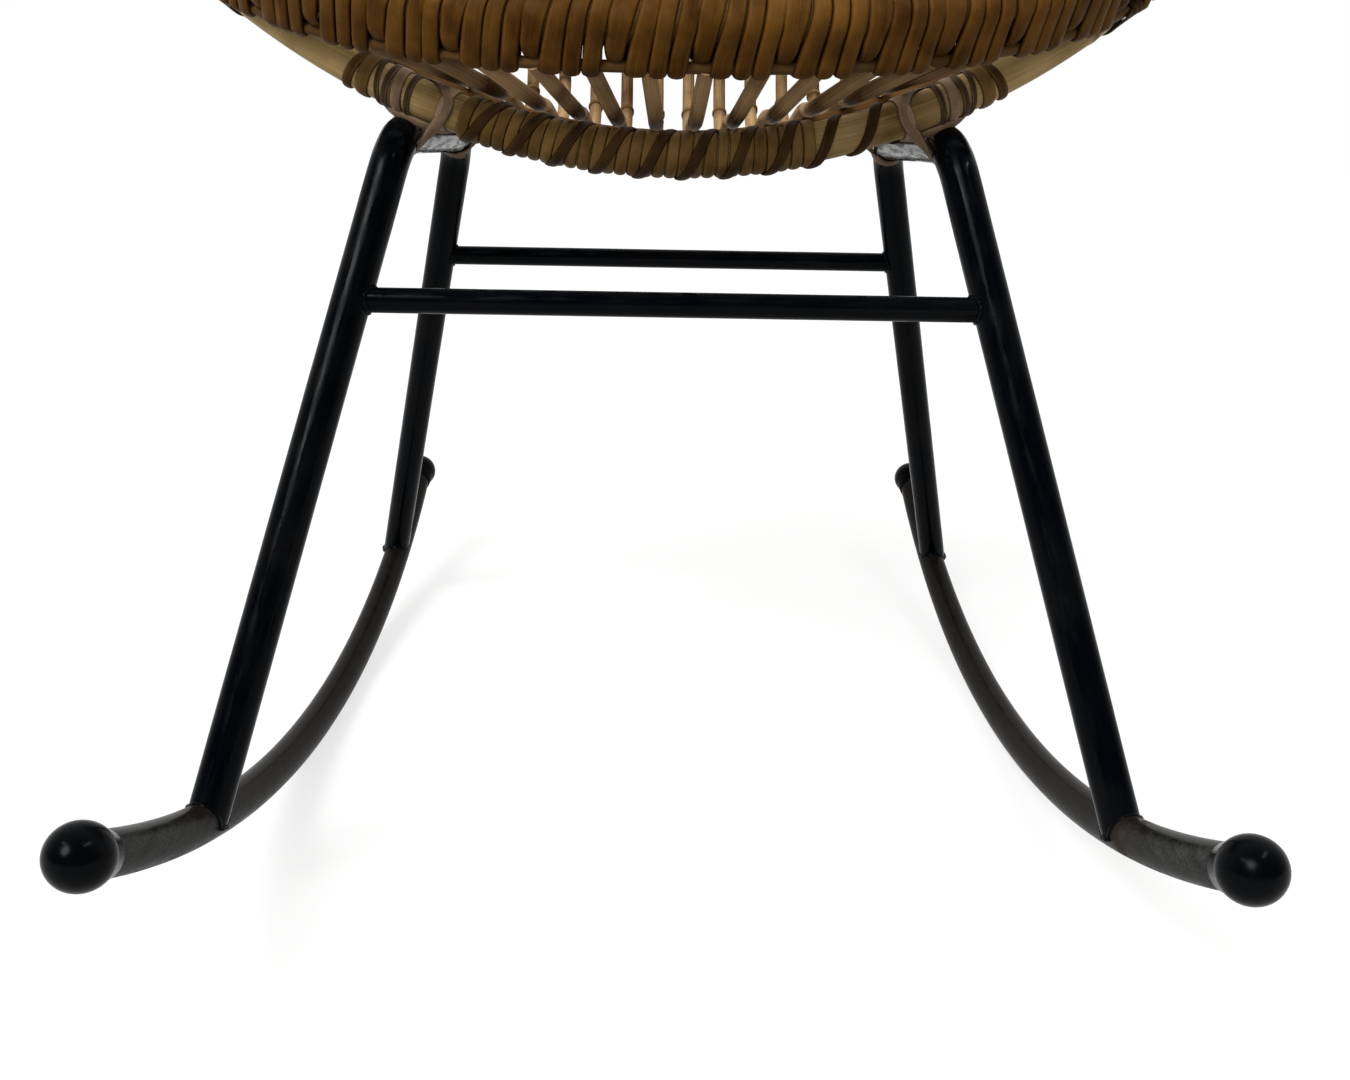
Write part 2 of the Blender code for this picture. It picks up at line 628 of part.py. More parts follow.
def crossing(curve, origin, along, place):
    """Where a curve near a place passes through a plane square to an axis, and its direction there."""
    near = curve[np.linalg.norm(curve - origin, axis=1) < LASHING_REACH]
    along_axis = (near - origin) @ along
    if along_axis[-1] < along_axis[0]:
        near, along_axis = near[::-1], along_axis[::-1]
    ahead, behind = (
        np.array([np.interp(place + step, along_axis, near[:, part]) for part in range(3)])
        for step in (LASHING_WIDTH / 2, -LASHING_WIDTH / 2)
    )
    return (ahead + behind) / 2, unit(ahead - behind)


def bridge(before, after):
    """Stations of the free run from one pole to the other, along which the strip turns evenly."""
    run = unit(after[0] - before[0])
    stations = []
    for share in np.linspace(0, 1, LASHING_BRIDGE_POINTS + 2)[1:-1]:
        outward = (1 - share) * before[1] + share * after[1]
        outward = unit(outward - (outward @ run) * run)
        place = before[0] + share * (after[0] - before[0])
        stations.append((place, outward, unit(np.cross(run, outward))))
    return stations


def lashing(name, poles, origin, along, across, slack, material):
    """A winding round two poles that touch: poles are (curve, radius), along is the winding's axis.

    The strip starts and ends on the side that across points to.
    """
    along = unit(along)
    across = unit(across - (across @ along) * along)
    plane = np.stack([across, np.cross(along, across)])
    total = LASHING_TURNS * LASHING_POINTS
    last_pole = None
    stations = []
    for count in range(total + 1):
        place = LASHING_PITCH * LASHING_TURNS * (count / total - 0.5)
        spots = [crossing(curve, origin, along, place) for curve, radius in poles]
        sections = []
        for (spot, direction), (curve, radius) in zip(spots, poles):
            slant = plane @ direction / (direction @ along)
            sections.append((plane @ (spot - origin), radius**2 * (np.eye(2) + np.outer(slant, slant))))
        angle = 2 * math.pi * count / LASHING_POINTS
        facing = np.array([math.cos(angle), math.sin(angle)])
        pole, touch = outermost(facing, sections)
        spot, direction = spots[pole]
        touch = origin + place * along + touch @ plane
        outward = touch - spot
        outward = unit(outward - (outward @ direction) * direction)
        running = np.array([-facing[1], facing[0]]) @ plane
        seat = tape_seat(poles[pole][1], LASHING_POINTS, slack)
        station = (touch + seat * outward, outward, unit(np.cross(running, outward)))
        if last_pole not in (None, pole):
            stations += bridge(stations[-1], station)
        stations.append(station)
        last_pole = pole
    return tape(name, stations, LASHING_WIDTH, LASHING_POINTS, material)


def binding(name, centre, frame, poles, span, turns, slack, material):
    """A winding along a curved pole, or two side by side: poles are (height over the curve, radius)."""
    sections = [(np.array([0.0, height]), radius**2 * np.eye(2)) for height, radius in poles]
    total = turns * TAPE_POINTS
    stations = []
    for count in range(total + 1):
        turn = span[0] + (span[1] - span[0]) * count / total
        tangent, outward, upward = frame(turn)
        angle = 2 * math.pi * count / TAPE_POINTS
        facing = np.array([math.cos(angle), math.sin(angle)])
        pole, touch = outermost(facing, sections)
        touch = touch + tape_seat(poles[pole][1], TAPE_POINTS, slack) * facing
        place = centre(turn) + touch[0] * outward + touch[1] * upward
        stations.append((place, facing[0] * outward + facing[1] * upward, tangent))
    return tape(name, stations, TAPE_WIDTH, TAPE_POINTS, material)


def fine(corners):
    """Many points along the straight runs between corners."""
    shares = (np.arange(LINE_SAMPLES) / LINE_SAMPLES)[:, None]
    runs = [start + shares * (end - start) for start, end in zip(corners[:-1], corners[1:])]
    return np.concatenate(runs)


hoop_line = fine(np.concatenate([hoop, hoop[:1]]))
rim_line = fine(np.concatenate([lower_rim, lower_rim[:1]]))
for side, hand in ((-1, "left"), (1, "right")):
    leg_line = fine(leg_points(side))
    for end, turn in (("front", rail_turn), ("rear", math.pi - rail_turn)):
        over = hoop_point(side * turn)
        under = np.array([side * RAIL_HALF_SPAN, over[1], RAIL_HEIGHT])
        tangent = hoop_frame(side * turn)[0]
        tangent = tangent * np.sign(tangent[0]) * side
        rail = np.array([0.0, np.sign(over[1]), 0.0])
        poles = ((hoop_line, HOOP_RADIUS), (leg_line, TUBE_RADIUS))
        axis = np.cross(np.cross(tangent, rail), tangent + rail)
        origin = (over + under) / 2 + RAIL_LASHING_OUTSET * tangent
        lashing(f"{end}_{hand}_rail_lashing", poles, origin, axis, -UP, RAIL_LASHING_SLACK, CANE_TAPE)
    mirror = np.array([side, 1, 1])
    poles = ((hoop_line, HOOP_RADIUS), (rim_line, RIM_LOWER_RADIUS))
    between = (meet_hoop + meet_rim) / 2 * mirror
    across = (meet_rim - meet_hoop) * mirror
    lashing(f"{hand}_rim_lashing", poles, between, meet_along * mirror, across, RIM_LASHING_SLACK, DARK_CANE)

hoop_pole = ((0, HOOP_RADIUS),)
turns = HOOP_BINDING_TURNS
binding("hoop_front_binding", hoop_point, hoop_frame, hoop_pole, hoop_span, turns, hoop_fall, CANE_TAPE)

rim_poles = ((0, RIM_LOWER_RADIUS), (RIM_POLE_SPACING, RIM_UPPER_RADIUS))
rim_bindings = (
    ("front", (-RIM_FRONT_ARC, RIM_FRONT_ARC), RIM_FRONT_TURNS),
    ("right", RIM_SIDE_ARC, RIM_SIDE_TURNS),
    ("left", (-RIM_SIDE_ARC[1], -RIM_SIDE_ARC[0]), RIM_SIDE_TURNS),
    ("back", (RIM_BACK_ARC, 2 * math.pi - RIM_BACK_ARC), RIM_BACK_TURNS),
)
for place, span, turns in rim_bindings:
    binding(f"rim_{place}_binding", rim_lower_point, rim_frame, rim_poles, span, turns, rim_fall, CANE_TAPE)

# The origin is on the floor under the middle of the chair's length.
reaches = [corner.co.y for part in chair.children if not part.hide_render for corner in part.data.vertices]
chair.location.y = -(min(reaches) + max(reaches)) / 2
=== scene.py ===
"""Looks of a rattan rocking chair: a cane-bound shell lashed to a rocking frame of black steel tube."""

import math

import bpy
import numpy as np
from mathutils import Matrix, Vector


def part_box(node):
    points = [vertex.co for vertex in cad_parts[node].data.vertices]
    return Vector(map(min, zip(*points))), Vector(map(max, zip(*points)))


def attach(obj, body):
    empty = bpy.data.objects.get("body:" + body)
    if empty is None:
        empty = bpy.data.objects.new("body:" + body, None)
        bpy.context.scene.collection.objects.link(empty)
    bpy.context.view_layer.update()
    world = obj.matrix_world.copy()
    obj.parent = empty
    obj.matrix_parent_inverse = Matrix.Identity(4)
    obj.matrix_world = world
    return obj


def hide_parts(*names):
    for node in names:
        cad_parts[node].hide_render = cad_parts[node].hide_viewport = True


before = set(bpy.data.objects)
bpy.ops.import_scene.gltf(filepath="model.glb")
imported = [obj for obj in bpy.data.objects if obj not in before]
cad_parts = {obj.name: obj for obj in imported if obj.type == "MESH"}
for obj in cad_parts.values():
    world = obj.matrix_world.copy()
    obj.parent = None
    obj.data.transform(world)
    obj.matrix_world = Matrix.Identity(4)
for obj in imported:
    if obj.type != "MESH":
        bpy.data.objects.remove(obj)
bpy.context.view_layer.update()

# Camera: it looks at the front of the chair from seat height, tipped down towards the rockers.
# The lens is about as long as the sensor is wide, and the place, aim and lean are those of the photograph.
CAMERA_PLACE = (-0.00598, -0.81624, 0.36697)
CAMERA_RIGHT = (0.999816, -0.008073, 0.017416)
CAMERA_AHEAD = (0.012672, 0.959078, -0.282858)
CAMERA_SENSOR = 36.0
CAMERA_LENS = 35.868


def put(name, data):
    """A new object of this data, linked into the scene."""
    made = bpy.data.objects.new(name, data)
    bpy.context.scene.collection.objects.link(made)
    return made


right, ahead = np.array(CAMERA_RIGHT), np.array(CAMERA_AHEAD)
aim = np.eye(4)
aim[:3] = np.stack([right, np.cross(right, ahead), -ahead, CAMERA_PLACE], axis=1)
lens = bpy.data.cameras.new("camera")
lens.sensor_fit = "HORIZONTAL"
lens.sensor_width = CAMERA_SENSOR
lens.lens = CAMERA_LENS
camera = put("camera", lens)
camera.matrix_world = Matrix(aim.tolist())
bpy.context.scene.camera = camera
bpy.context.scene.view_settings.view_transform = "Standard"

# Floor and light: a plain white floor under a pale sky, one broad soft sun from the front left, and
# two long soft lamps overhead that draw the streaks on the enamel. None of it is part of the chair.
WHITE = (1.0, 1.0, 1.0, 1.0)
FLOOR_HALF_SIDE = 30.0
FLOOR_DROP = 0.0003
FLOOR_COLOUR = (0.30, 0.30, 0.30, 1.0)
FLOOR_GLOW = 0.70
SKY_COLOUR = (1.0, 0.99, 0.97, 1.0)
SKY_LIGHT = 0.75
ROOM_LIGHT = 0.05
ROOM_EDGE = 0.4
SUN_FROM = (-0.40, -0.62, 0.68)
SUN_LIGHT = 2.2
SUN_BREADTH = math.radians(24)
LAMP_WATTS = 5.0
LAMP_SIZE = (0.9, 0.10)
LAMP_PLACES = ((-1.1, -1.0, 1.7), (1.0, -0.7, 1.9))


def feed(socket, value):
    """Join a socket to another's output, or set its own value."""
    if isinstance(value, bpy.types.NodeSocket):
        socket.id_data.links.new(value, socket)
    else:
        socket.default_value = value


def node(tree, kind, inputs=None, **settings):
    """A shader node with its settings, and with its inputs fed by number or name."""
    made = tree.nodes.new("ShaderNode" + kind)
    for key, value in settings.items():
        setattr(made, key, value)
    for key, value in (inputs or {}).items():
        feed(made.inputs[key], value)
    return made


def arithmetic(operation, first, second):
    """One sum on two numbers, of which the first is another node's output."""
    return node(first.id_data, "Math", {0: first, 1: second}, operation=operation).outputs[0]


def between(value, ends=(0.0, 1.0), results=(0.0, 1.0)):
    """A number that goes from the first result to the second as a value goes between two ends."""
    inputs = dict(zip(("From Min", "From Max", "To Min", "To Max"), (*ends, *results)))
    return node(value.id_data, "MapRange", {"Value": value, **inputs}).outputs["Result"]


def bare_tree(owner):
    """A world's or material's emptied node tree, its light path, and whether a ray comes from the eye."""
    owner.use_nodes = True
    tree = owner.node_tree
    tree.nodes.clear()
    ray = node(tree, "LightPath").outputs
    return tree, ray, arithmetic("MAXIMUM", ray["Is Camera Ray"], ray["Is Transmission Ray"])


def hang_lamp(name, kind, place, **settings):
    """A lamp at a place, turned to shine on the seat."""
    lamp = bpy.data.lights.new(name, kind)
    for key, value in settings.items():
        setattr(lamp, key, value)
    hung = put(name, lamp)
    hung.location = place
    hung.rotation_euler = Vector(place).to_track_quat("Z", "Y").to_euler()


studio = bpy.data.worlds.new("studio")
bpy.context.scene.world = studio
tree, ray, seen = bare_tree(studio)
facing = node(tree, "SeparateXYZ", {0: node(tree, "TexCoord").outputs["Generated"]}).outputs["Y"]
backdrop = between(facing, (-ROOM_EDGE, ROOM_EDGE), (ROOM_LIGHT, 1.0))
sky = node(tree, "Background", {"Color": SKY_COLOUR, "Strength": SKY_LIGHT})
mirrored = node(tree, "Background", {"Color": WHITE, "Strength": backdrop})
plain = node(tree, "Background", {"Color": WHITE, "Strength": 1.0})
lit = node(tree, "MixShader", {0: ray["Is Glossy Ray"], 1: sky.outputs[0], 2: mirrored.outputs[0]})
shown = node(tree, "MixShader", {0: seen, 1: lit.outputs[0], 2: plain.outputs[0]})
node(tree, "OutputWorld", {"Surface": shown.outputs[0]})

floor_paint = bpy.data.materials.new("floor_paint")
tree, ray, seen = bare_tree(floor_paint)
glow = arithmetic("MULTIPLY", arithmetic("MAXIMUM", seen, ray["Is Glossy Ray"]), FLOOR_GLOW)
glow = node(tree, "Emission", {"Color": WHITE, "Strength": glow})
matt = node(tree, "BsdfDiffuse", {"Color": FLOOR_COLOUR})
both = node(tree, "AddShader", {0: glow.outputs[0], 1: matt.outputs[0]})
node(tree, "OutputMaterial", {"Surface": both.outputs[0]})
corners = FLOOR_HALF_SIDE * np.array([(-1, -1, 0), (1, -1, 0), (1, 1, 0), (-1, 1, 0)])
floor_mesh = bpy.data.meshes.new("floor")
floor_mesh.from_pydata((corners - [0, 0, FLOOR_DROP]).tolist(), [], [(0, 1, 2, 3)])
floor_mesh.materials.append(floor_paint)
floor = put("floor", floor_mesh)

hang_lamp("sun", "SUN", SUN_FROM, energy=SUN_LIGHT, angle=SUN_BREADTH)
for number, place in enumerate(LAMP_PLACES, 1):
    sizes = {"shape": "RECTANGLE", "size": LAMP_SIZE[0], "size_y": LAMP_SIZE[1]}
    hang_lamp(f"lamp_{number}", "AREA", place, energy=LAMP_WATTS, **sizes)

# Rockers: two lengths of 20 mm steel tube, bent to one long arc and stove-enamelled black.
# They carry the chair on the floor, so the enamel is scuffed grey below and at the front ends; that grey is
# part real scuffing and part painted reflection of the floor.
# Each noise gives its scale, the two values between which it counts, and its detail.
TUBE_RADIUS = 0.0098
TUBE_SIDES = 28
ROCKER_RADIUS = 0.84
ROCKER_MIDDLE = 0.020
ROCKER_REACH = (-0.407, 0.347)
ROCKER_SPAN = 0.221
ROCKER_STEPS = 150
FOOT_REACH = 0.244
SHEEN_AND_SCUFF_TOP = 0.86
SHEEN_AND_SCUFF_FADE = 0.4
SHEEN_AND_SCUFF_ABOVE = 0.15
SHEEN_AND_SCUFF_RUN = 0.06
SHEEN_AND_SCUFF_AT_FOOT = 0.7
SHEEN_AND_SCUFF_LEAST = 0.13
SHEEN_AND_SCUFF_NOISE = (160.0, 0.30, 0.62, 6.0)
SPECK_NOISE = (700.0, 0.40, 0.60, 3.0)
SPECK_SHARES = (0.30, 1.15)
RUST_AHEAD = 0.014
RUST_SPREAD = 0.020
RUST_LEAST = 0.22
RUST_MOST = {"left": 0.35, "right": 1.0}
RUST_NOISE = (70.0, 0.32, 0.58, 5.0)
GRIT_NOISE = (420.0, 0.2, 0.8, 4.0)
DRAWN_OUT = (1.0, 0.16, 1.0)
WORN_GLOSS = 0.012
WORN_ROUGHNESS = (0.24, 0.52)
WORN_BUMP = (0.10, 0.0006)
ENAMEL_BLACK = (0.0007, 0.0012, 0.0020, 1.0)
ENAMEL_MATT = (0.0046, 0.0040, 0.0033, 1.0)
ENAMEL_GREY = (0.056, 0.057, 0.055, 1.0)
ENAMEL_BROWN = (0.022, 0.0145, 0.0095, 1.0)
SHARP_EDGE = math.radians(50)
HANDS = ((-1, "left"), (1, "right"))
ACROSS, LENGTHWISE, UP = np.eye(3)
length_shift = float(np.mean([corner[1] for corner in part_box("seat_bearer")]))
SHIFT = length_shift * LENGTHWISE


def unit(vectors):
    """Each vector divided by its own length."""
    return vectors / np.linalg.norm(vectors, axis=-1, keepdims=True)


def around(angle, first, second):
    """Cosine of the angle times the first vector plus sine of the angle times the second."""
    angle = angle[..., None]
    return np.cos(angle) * first + np.sin(angle) * second


def axes(path, side, closed=False):
    """Sideways and upward unit vectors on a path.

    Along is the step between a point's neighbours, sideways is the given vector made square to it, and
    upward is along crossed with sideways.
    """
    steps = np.roll(path, -1, axis=0) - np.roll(path, 1, axis=0) if closed else np.gradient(path, axis=0)
    along = unit(steps)
    side = np.broadcast_to(side, path.shape)
    sideways = unit(side - (side * along).sum(axis=-1, keepdims=True) * along)
    return sideways, np.cross(along, sideways)


def tube(path, side, radius, sides, closed=False):
    """Rings round a path: path plus radius times (cosine of turn sideways plus sine of turn upward)."""
    sideways, upward = axes(path, side, closed)
    turn = np.arange(sides) * math.tau / sides
    radius = np.broadcast_to(radius, len(path))[:, None, None]
    return path[:, None] + radius * around(turn, sideways[:, None], upward[:, None])


def run_along(path):
    """Distance run along a path at each of its points."""
    return np.concatenate([[0.0], np.cumsum(np.linalg.norm(np.diff(path, axis=0), axis=1))])


def surface(name, grids, finish, closed=False, **marks):
    """One mesh from grids of points, each rings by columns and closed round its columns.

    Each quad joins ring and column to the next ring and the next column. An open grid gets a flat face at
    both ends. In the map, u is the distance along the rings' middles and v the share of the way round.
    A mark is a list of arrays of one number for each point, which the finish reads by its name.
    """
    faces, spots = [], []
    first = 0
    for grid in grids:
        rings, columns = grid.shape[:2]
        row, column = np.indices((rings if closed else rings - 1, columns))
        beside = (column + 1) % columns
        here, after = first + row * columns, first + (row + 1) % rings * columns
        quads = [here + column, here + beside, after + beside, after + column]
        faces += np.stack(quads, axis=-1).reshape(-1, 4).tolist()
        middles = grid.mean(axis=1)
        run = run_along(np.concatenate([middles, middles[:1]]))
        u = np.stack([run[row], run[row], run[row + 1], run[row + 1]], axis=-1)
        v = np.stack([column, column + 1, column + 1, column], axis=-1) / columns
        spots.append(np.stack([u, v], axis=-1).reshape(-1, 2))
        if not closed:
            last = first + (rings - 1) * columns
            faces += [list(range(first + columns - 1, first - 1, -1)), list(range(last, last + columns))]
            spots.append(np.zeros((2 * columns, 2)))
        first += rings * columns
    mesh = bpy.data.meshes.new(name)
    mesh.from_pydata(np.concatenate([grid.reshape(-1, 3) for grid in grids]).tolist(), [], faces)
    flat = np.concatenate(spots).astype(np.float32).ravel()
    mesh.uv_layers.new(name="map").uv.foreach_set("vector", flat)
    for mark, arrays in marks.items():
        values = np.concatenate([np.ravel(array) for array in arrays]).astype(np.float32)
        mesh.attributes.new(mark, "FLOAT", "POINT").data.foreach_set("value", values)
    mesh.materials.append(finish)
    mesh.shade_smooth()
    mesh.set_sharp_from_angle(angle=SHARP_EDGE)
    return put(name, mesh)


def fit(piece, solid=None):
    """Fix a piece to the chair's one body, and hide the solid that it stands for, if any."""
    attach(piece, "root")
    if solid:
        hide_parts(solid)


def new_finish(name, gloss):
    """A material of a gloss, as (material, shader, object coordinates, map)."""
    material = bpy.data.materials.new(name)
    material.use_nodes = True
    shader = material.node_tree.nodes["Principled BSDF"]
    shader.inputs["Specular IOR Level"].default_value = gloss
    coordinates = node(material.node_tree, "TexCoord").outputs
    return material, shader, coordinates["Object"], coordinates["UV"]


def cloud(place, noise, stretch=None):
    """A share from 0 to 1, as soft noise passes between two values. A stretch first multiplies the place."""
    tree = place.id_data
    scale, low, high, detail = noise
    if stretch:
        place = node(tree, "Mapping", {"Vector": place, "Scale": stretch}).outputs["Vector"]
    soft = node(tree, "TexNoise", {"Vector": place, "Scale": scale, "Detail": detail})
    return between(soft.outputs["Fac"], (low, high))


def tint(share, first, second):
    """A colour that goes from the first to the second by a share."""
    mix = node(share.id_data, "Mix", data_type="RGBA")
    for number, value in ((0, share), (6, first), (7, second)):
        feed(mix.inputs[number], value)
    return mix.outputs[2]


def mark(shader, name):
    """A number stored on the mesh's points."""
    return node(shader.id_data, "Attribute", attribute_name=name).outputs["Fac"]


def coat(shader, rough, height, bump):
    """Give a shader its roughness, and a bump of a strength and a depth from a height."""
    feed(shader.inputs["Roughness"], rough)
    raised = node(shader.id_data, "Bump", {"Height": height, "Strength": bump[0], "Distance": bump[1]})
    feed(shader.inputs["Normal"], raised.outputs["Normal"])


def rocker_line(side):
    """A rocker's centreline: a circle's arc that stands on the floor at its middle."""
    angle = np.linspace(*np.array(ROCKER_REACH) / ROCKER_RADIUS, ROCKER_STEPS)
    along = ROCKER_MIDDLE + ROCKER_RADIUS * np.sin(angle)
    height = TUBE_RADIUS + ROCKER_RADIUS * (1 - np.cos(angle))
    return np.stack([np.full_like(along, side * ROCKER_SPAN), along, height], axis=1) + SHIFT


sheened_worn_enamel, shader, place, _ = new_finish("sheened_worn_enamel", WORN_GLOSS)
# Grey base colour below and at the front ends: part scuffs, part painted reflection of the floor in the
# enamel.
scuffs_and_sheen = arithmetic("MULTIPLY", mark(shader, "wear"), cloud(place, SHEEN_AND_SCUFF_NOISE, DRAWN_OUT))
specks = between(cloud(place, SPECK_NOISE), results=SPECK_SHARES)
scuffs_and_sheen = arithmetic("MULTIPLY", scuffs_and_sheen, specks)
patches = arithmetic("MULTIPLY", mark(shader, "rust"), cloud(place, RUST_NOISE))
colour = tint(scuffs_and_sheen, ENAMEL_MATT, ENAMEL_GREY)
feed(shader.inputs["Base Color"], tint(patches, colour, ENAMEL_BROWN))
rough = between(arithmetic("MAXIMUM", scuffs_and_sheen, patches), results=WORN_ROUGHNESS)
coat(shader, rough, cloud(place, GRIT_NOISE, DRAWN_OUT), WORN_BUMP)
for side, hand in HANDS:
    line = rocker_line(side)
    grid = tube(line, ACROSS, TUBE_RADIUS, TUBE_SIDES)
    # Lower side of the tube: painted reflection of the floor, mixed with scuffs.
    below = np.clip((SHEEN_AND_SCUFF_TOP - (grid - line[:, None])[..., 2] / TUBE_RADIUS) / SHEEN_AND_SCUFF_FADE, 0, 1)
    from_foot = grid[..., 1] - length_shift + FOOT_REACH
    ahead_of_foot = np.clip(SHEEN_AND_SCUFF_AT_FOOT - from_foot / SHEEN_AND_SCUFF_RUN, SHEEN_AND_SCUFF_LEAST, 1)
    wear = ahead_of_foot * (SHEEN_AND_SCUFF_ABOVE + (1 - SHEEN_AND_SCUFF_ABOVE) * below)
    from_rust = (from_foot + RUST_AHEAD) / RUST_SPREAD
    rust = np.maximum(RUST_MOST[hand] * np.exp(-(from_rust**2)), RUST_LEAST * np.clip(from_rust, 0, 1))
    rocker = surface(f"{hand}_rocker_tube", [grid], sheened_worn_enamel, wear=[wear], rust=[rust])
    fit(rocker, f"{hand}_rocker")

# Leg hoops: on each side one 20 mm tube is bent into a front leg, a rail and a rear leg.
# It leans in from its rocker, and a rough weld bead joins each foot to the rocker's top.
LEG_RADIUS = 0.0099
LEG_STRAIGHT_STEPS = 26
LEG_BEND_STEPS = 14
LEG_BEND_RADIUS = 0.032
LEG_COPE = 0.0005
RAIL_HEIGHT = 0.369
RAIL_SPAN = 0.1415
RAIL_CORNER = 0.107
WELD_RADIUS = 0.0013
WELD_POINTS = 64
WELD_SIDES = 8
WELD_LUMPS = 11
WELD_SWELL = 0.14
WELD_UNEVEN = (0.4, 1)
FOOT_WELD_SEED = 7
PHASES = (0, 6)
ENAMEL_GLOSS = 0.04
ENAMEL_ROUGHNESS = (0.09, 0.36)
ENAMEL_BUMP = (0.03, 0.0008)
SMUDGE_GREY = (0.0030, 0.0032, 0.0036, 1.0)
SMUDGE_NOISE = (24.0, 0.50, 0.72, 5.0)
DASH_NOISE = (1.0, 0.40, 0.62, 3.0)
DASH_STRETCH = (45.0, 22.0, 1.0)
WAVE_NOISE = (260.0, 0.2, 0.8, 2.0)


def foot_number(arc, end):
    """The number of a rocker's point under a leg's foot."""
    return np.argmin(abs(arc[:, 1] - length_shift - end * FOOT_REACH))


def leg_span(height):
    """A leg's distance from the plane of symmetry, which grows evenly from the rail down to the rocker."""
    share = (RAIL_HEIGHT - height) / (RAIL_HEIGHT - foot_height)
    return RAIL_SPAN + share * (ROCKER_SPAN - RAIL_SPAN)


def leg_line(side):
    """Up the front leg, along the rail and down the rear leg, with both corners rounded to one radius."""
    halves = {}
    for end, knee in knees.items():
        down, level = unit(feet[end] - knee), np.array([-end, 0.0])
        half_angle = math.acos(down @ level) / 2
        centre = knee + unit(down + level) * LEG_BEND_RADIUS / math.sin(half_angle)
        turn_start = knee + down * LEG_BEND_RADIUS / math.tan(half_angle) - centre
        turn_end = knee + level * LEG_BEND_RADIUS / math.tan(half_angle) - centre
        total = math.pi - 2 * half_angle
        share = np.linspace(0, 1, LEG_BEND_STEPS + 1)[:, None]
        arc = np.sin((1 - share) * total) * turn_start + np.sin(share * total) * turn_end
        arc = centre + arc / math.sin(total)
        start = feet[end] - LEG_COPE * down
        rise = np.linspace(0, 1, LEG_STRAIGHT_STEPS, endpoint=False)[:, None]
        halves[end] = np.concatenate([start + rise * (arc[0] - start), arc])
    middle = np.linspace(0, 1, LEG_STRAIGHT_STEPS)[1:-1, None]
    rail = halves[-1][-1] + middle * (halves[1][-1] - halves[-1][-1])
    flat = np.concatenate([halves[-1], rail, halves[1][::-1]])
    return np.stack([side * leg_span(flat[:, 1]), flat[:, 0], flat[:, 1]], axis=1) + SHIFT


def weld(place, along, radius, other_place, other_along, other_radius, seed):
    """A bead of weld where a tube's side meets another tube.

    Each line p + s times along on the first tube's side meets the second tube where its distance from that
    tube's axis is that tube's radius, which is a square equation in s. A small lumpy ring follows the curve.
    """
    turn = np.linspace(0, math.tau, WELD_POINTS, endpoint=False)
    sideways = unit(np.cross(along, other_along))
    sides = place + radius * around(turn, sideways, np.cross(along, sideways)) - other_place
    square = along - (along @ other_along) * other_along
    apart = sides - (sides @ other_along)[:, None] * other_along
    half = apart @ square / (square @ square)
    rest = ((apart**2).sum(axis=1) - other_radius**2) / (square @ square)
    curve = other_place + sides + (-half + np.sqrt(np.clip(half**2 - rest, 0, None)))[:, None] * along
    chance = np.random.default_rng(seed)
    lumps = WELD_SWELL * np.sin(WELD_LUMPS * turn + chance.uniform(*PHASES))
    lumps = lumps * chance.uniform(*WELD_UNEVEN, WELD_POINTS)
    return tube(curve, along, WELD_RADIUS * (1 + lumps), WELD_SIDES, closed=True)


arc = rocker_line(1)
feet = {end: np.array([end * FOOT_REACH, arc[foot_number(arc, end), 2]]) for end in (-1, 1)}
knees = {end: np.array([end * RAIL_CORNER, RAIL_HEIGHT]) for end in (-1, 1)}
foot_height = (feet[-1][1] + feet[1][1]) / 2
enamel, shader, place, flat = new_finish("black_enamel_gloss", ENAMEL_GLOSS)
feed(shader.inputs["Base Color"], tint(cloud(place, SMUDGE_NOISE), ENAMEL_BLACK, SMUDGE_GREY))
rough = between(cloud(flat, DASH_NOISE, DASH_STRETCH), results=ENAMEL_ROUGHNESS)
coat(shader, rough, cloud(place, WAVE_NOISE), ENAMEL_BUMP)
for side, hand in HANDS:
    line = leg_line(side)
    leg = surface(f"{hand}_leg_tube", [tube(line, ACROSS, LEG_RADIUS, TUBE_SIDES)], enamel)
    fit(leg, f"{hand}_leg_hoop")
    arc = rocker_line(side)
    beads = []
    for end, foot in ((-1, line[:2]), (1, line[:-3:-1])):
        near = foot_number(arc, end)
        rise, level = unit(foot[1] - foot[0]), unit(arc[near + 1] - arc[near - 1])
        seed = FOOT_WELD_SEED + end
        beads.append(weld(foot[0], rise, LEG_RADIUS, arc[near], level, TUBE_RADIUS, seed))
    fit(surface(f"{hand}_foot_welds", beads, enamel, closed=True))

# Stretchers: two straight 13 mm tubes, front and rear, that tie the left legs to the right ones.
# Their ends are coped to the legs and welded round.
STRETCHER_RADIUS = 0.0064
STRETCHER_HEIGHT = 0.289
STRETCHER_SIDES = 22
STRETCHER_STEPS = 24
STRETCHER_WELD_SEED = 20
for end, direction in (("front", -1), ("rear", 1)):
    foot, knee = feet[direction], knees[direction]
    share = (STRETCHER_HEIGHT - foot[1]) / (knee[1] - foot[1])
    tip = np.array([leg_span(STRETCHER_HEIGHT), foot[0] + share * (knee[0] - foot[0]), STRETCHER_HEIGHT])
    line = np.linspace(tip * (-1, 1, 1), tip, STRETCHER_STEPS) + SHIFT
    bar = surface(f"{end}_stretcher_bar", [tube(line, UP, STRETCHER_RADIUS, STRETCHER_SIDES)], enamel)
    fit(bar, f"{end}_stretcher")
    beads = []
    for side, tip in ((-1, line[0]), (1, line[-1])):
        lean = unit(np.array([side * RAIL_SPAN, *knee]) - [side * leg_span(foot[1]), *foot])
        seed = STRETCHER_WELD_SEED + side + direction
        beads.append(weld(tip, -side * ACROSS, STRETCHER_RADIUS, tip, lean, LEG_RADIUS, seed))
    fit(surface(f"{end}_stretcher_welds", beads, enamel, closed=True))

